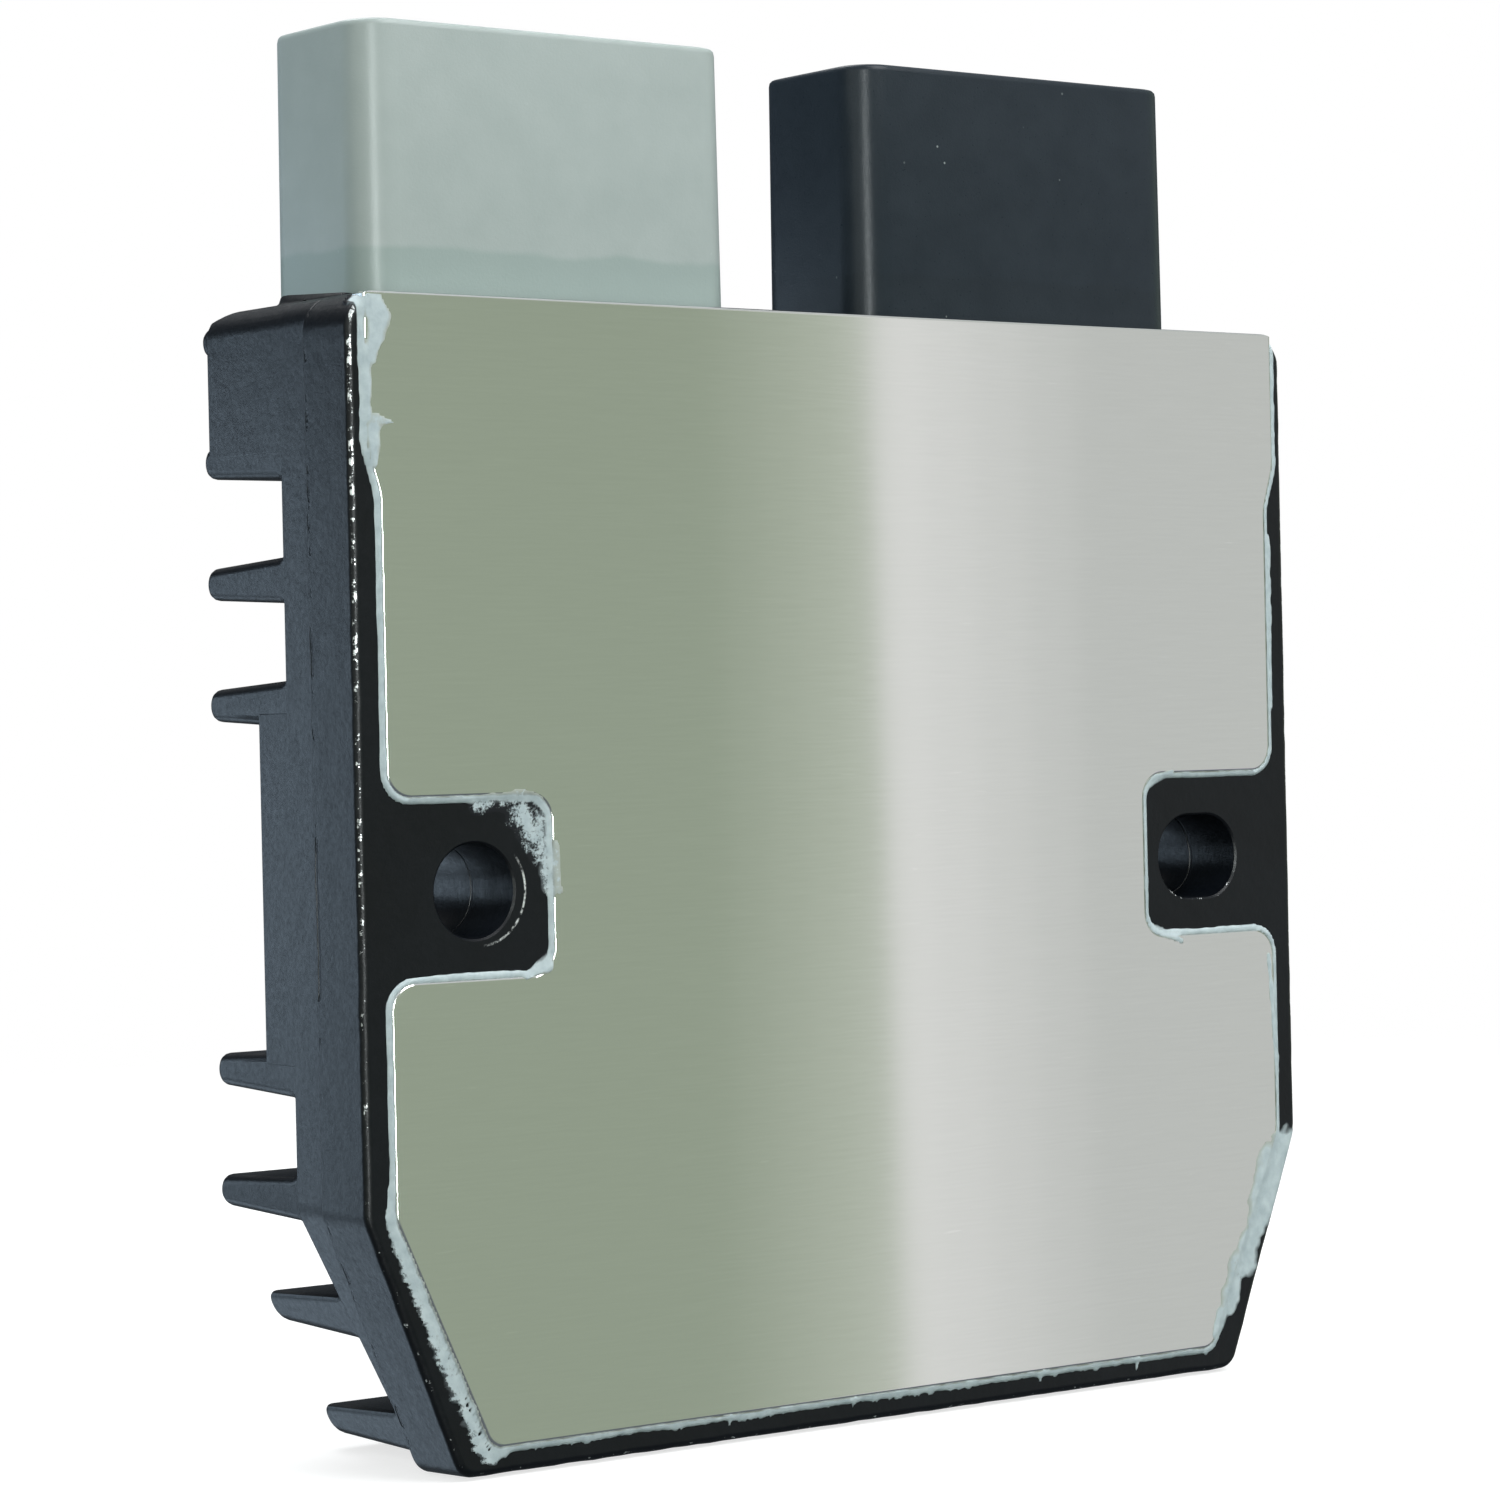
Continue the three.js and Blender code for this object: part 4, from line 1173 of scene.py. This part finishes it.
def build_world():
    """Olive in front of the plate, pale above and dark behind and below; plain white to the camera."""
    world = bpy.data.worlds.new("studio")
    bpy.context.scene.world = world
    world.use_nodes = True
    sky = Nodes(world.node_tree)
    direction = sky.node("TexCoord").outputs["Generated"]
    parts = sky.node("SeparateXYZ", {"Vector": direction}).outputs
    behind = sky.span(parts["Y"], 0.05, 0.5, smooth=True)
    above = sky.span(parts["Z"], 0.45, 0.8, smooth=True)
    below = sky.span(parts["Z"], -0.2, -0.5, smooth=True)
    colour = sky.blend(behind, rgb(0.385, 0.450, 0.350), rgb(0.06, 0.07, 0.08))
    colour = sky.blend(above, colour, rgb(0.75, 0.78, 0.80))
    colour = sky.blend(below, colour, rgb(0.14, 0.16, 0.18))
    seen = sky.node("LightPath").outputs["Is Camera Ray"]
    shown = sky.blend(seen, colour, rgb(1, 1, 1))
    sky.put(world.node_tree.nodes["Background"].inputs["Color"], shown)


def build_floor():
    """A pale floor under the object, seen by the camera only, so that it adds no light from below."""
    around = FLOOR_AROUND
    angles = [2 * math.pi * k / around for k in range(around)]
    vertices = [(0, 0, 0)]
    for r in range(1, FLOOR_RINGS + 1):
        reach = FLOOR_RADIUS * r / FLOOR_RINGS
        vertices += [(reach * math.cos(a), reach * math.sin(a), 0) for a in angles]
    faces = [[0, 1 + k, 1 + (k + 1) % around] for k in range(around)]
    for r in range(1, FLOOR_RINGS):
        inner, outer = 1 + (r - 1) * around, 1 + r * around
        for k in range(around):
            n = (k + 1) % around
            faces.append([inner + k, outer + k, outer + n, inner + n])
    floor = add_object("floor", mesh_from("floor", vertices, faces), None)
    floor.location = (0, 0, CAD_BOX[0].z)
    floor.visible_glossy = False
    floor.visible_diffuse = False
    floor.visible_shadow = False
    s = Shader("floor_paper", Roughness=0.9, Emission_Color=rgb(1, 1, 1), Emission_Strength=0.72)
    distance = s.node("VectorMath", {0: s.place()}, operation="LENGTH").outputs["Value"]
    fade = s.span(distance, FLOOR_FADE[1], FLOOR_FADE[0], smooth=True)
    paper = s.blend(s.span(s.noise(0.4), 0.3, 0.7), rgb(0.36, 0.36, 0.36), rgb(0.38, 0.38, 0.38))
    floor.data.materials.append(s.drive(Base_Color=paper, Alpha=fade))


def graded_strips(name, reach, radiance):
    """Strips that all start at the plate's edge, each reaching further, so their light falls away from it."""
    count = 4
    for i in range(count):
        turn_by = reach * (i + 1) / count
        azimuth = PLATE_EDGE_AZIMUTH + turn_by / 2
        size = (STRIP_DISTANCE * math.radians(abs(turn_by)), STRIP_HEIGHT)
        area_light(f"{name}_{i}", azimuth, STRIP_ELEVATION, STRIP_DISTANCE, size, radiance, STRIP_COLOUR)


def build_lights():
    """The plate mirrors the right softbox and the strips; the others light the paint and the plastic."""
    area_light("right_softbox", 53.0, STRIP_ELEVATION, 0.62, (0.29, STRIP_HEIGHT), 0.33, (0.89, 0.75, 1.0))
    graded_strips("bright_edge", 4.0, 0.065)
    graded_strips("left_of_edge", -3.0, 0.045)
    area_light("camera_strip", -41.0, 8, 0.60, (0.04, 0.5), 50.0, (0.94, 1.0, 1.0), lights_matt=False)
    area_light("front_key", 15.0, 50, 0.80, (0.5, 0.5), 7.2, (0.97, 0.98, 1.0))
    area_light("side_key", -80.0, 20, 0.80, (0.5, 0.5), 1.1, (0.95, 0.98, 1.0))
    area_light("back_key", -172.0, 62, 0.80, (0.5, 0.4), 5.0, COOL_WHITE)
    area_light("back_left_softbox", -146.0, -3, 0.70, (0.40, 0.27), 3.0, BLUE_WHITE)
    area_light("back_left_top_strip", -146.0, 6, 0.71, (0.40, 0.05), 1.4, BLUE_WHITE)
    area_light("back_left_low", -156.0, -31, 0.70, (0.40, 0.28), 2.4, BLUE_WHITE)


bpy.context.scene.view_settings.view_transform = "Standard"
build_camera()
build_world()
build_lights()
build_floor()
dress_nodes()
build_housing()
build_plate()
build_sealant()
build_shroud("ac_connector_shroud", "ac_shroud", "grey_plastic")
build_shroud("dc_connector_shroud", "dc_shroud", "black_plastic")
build_foot_bead("ac_foot_bead", "ac_connector_shroud")
build_foot_bead("dc_foot_bead", "dc_connector_shroud")
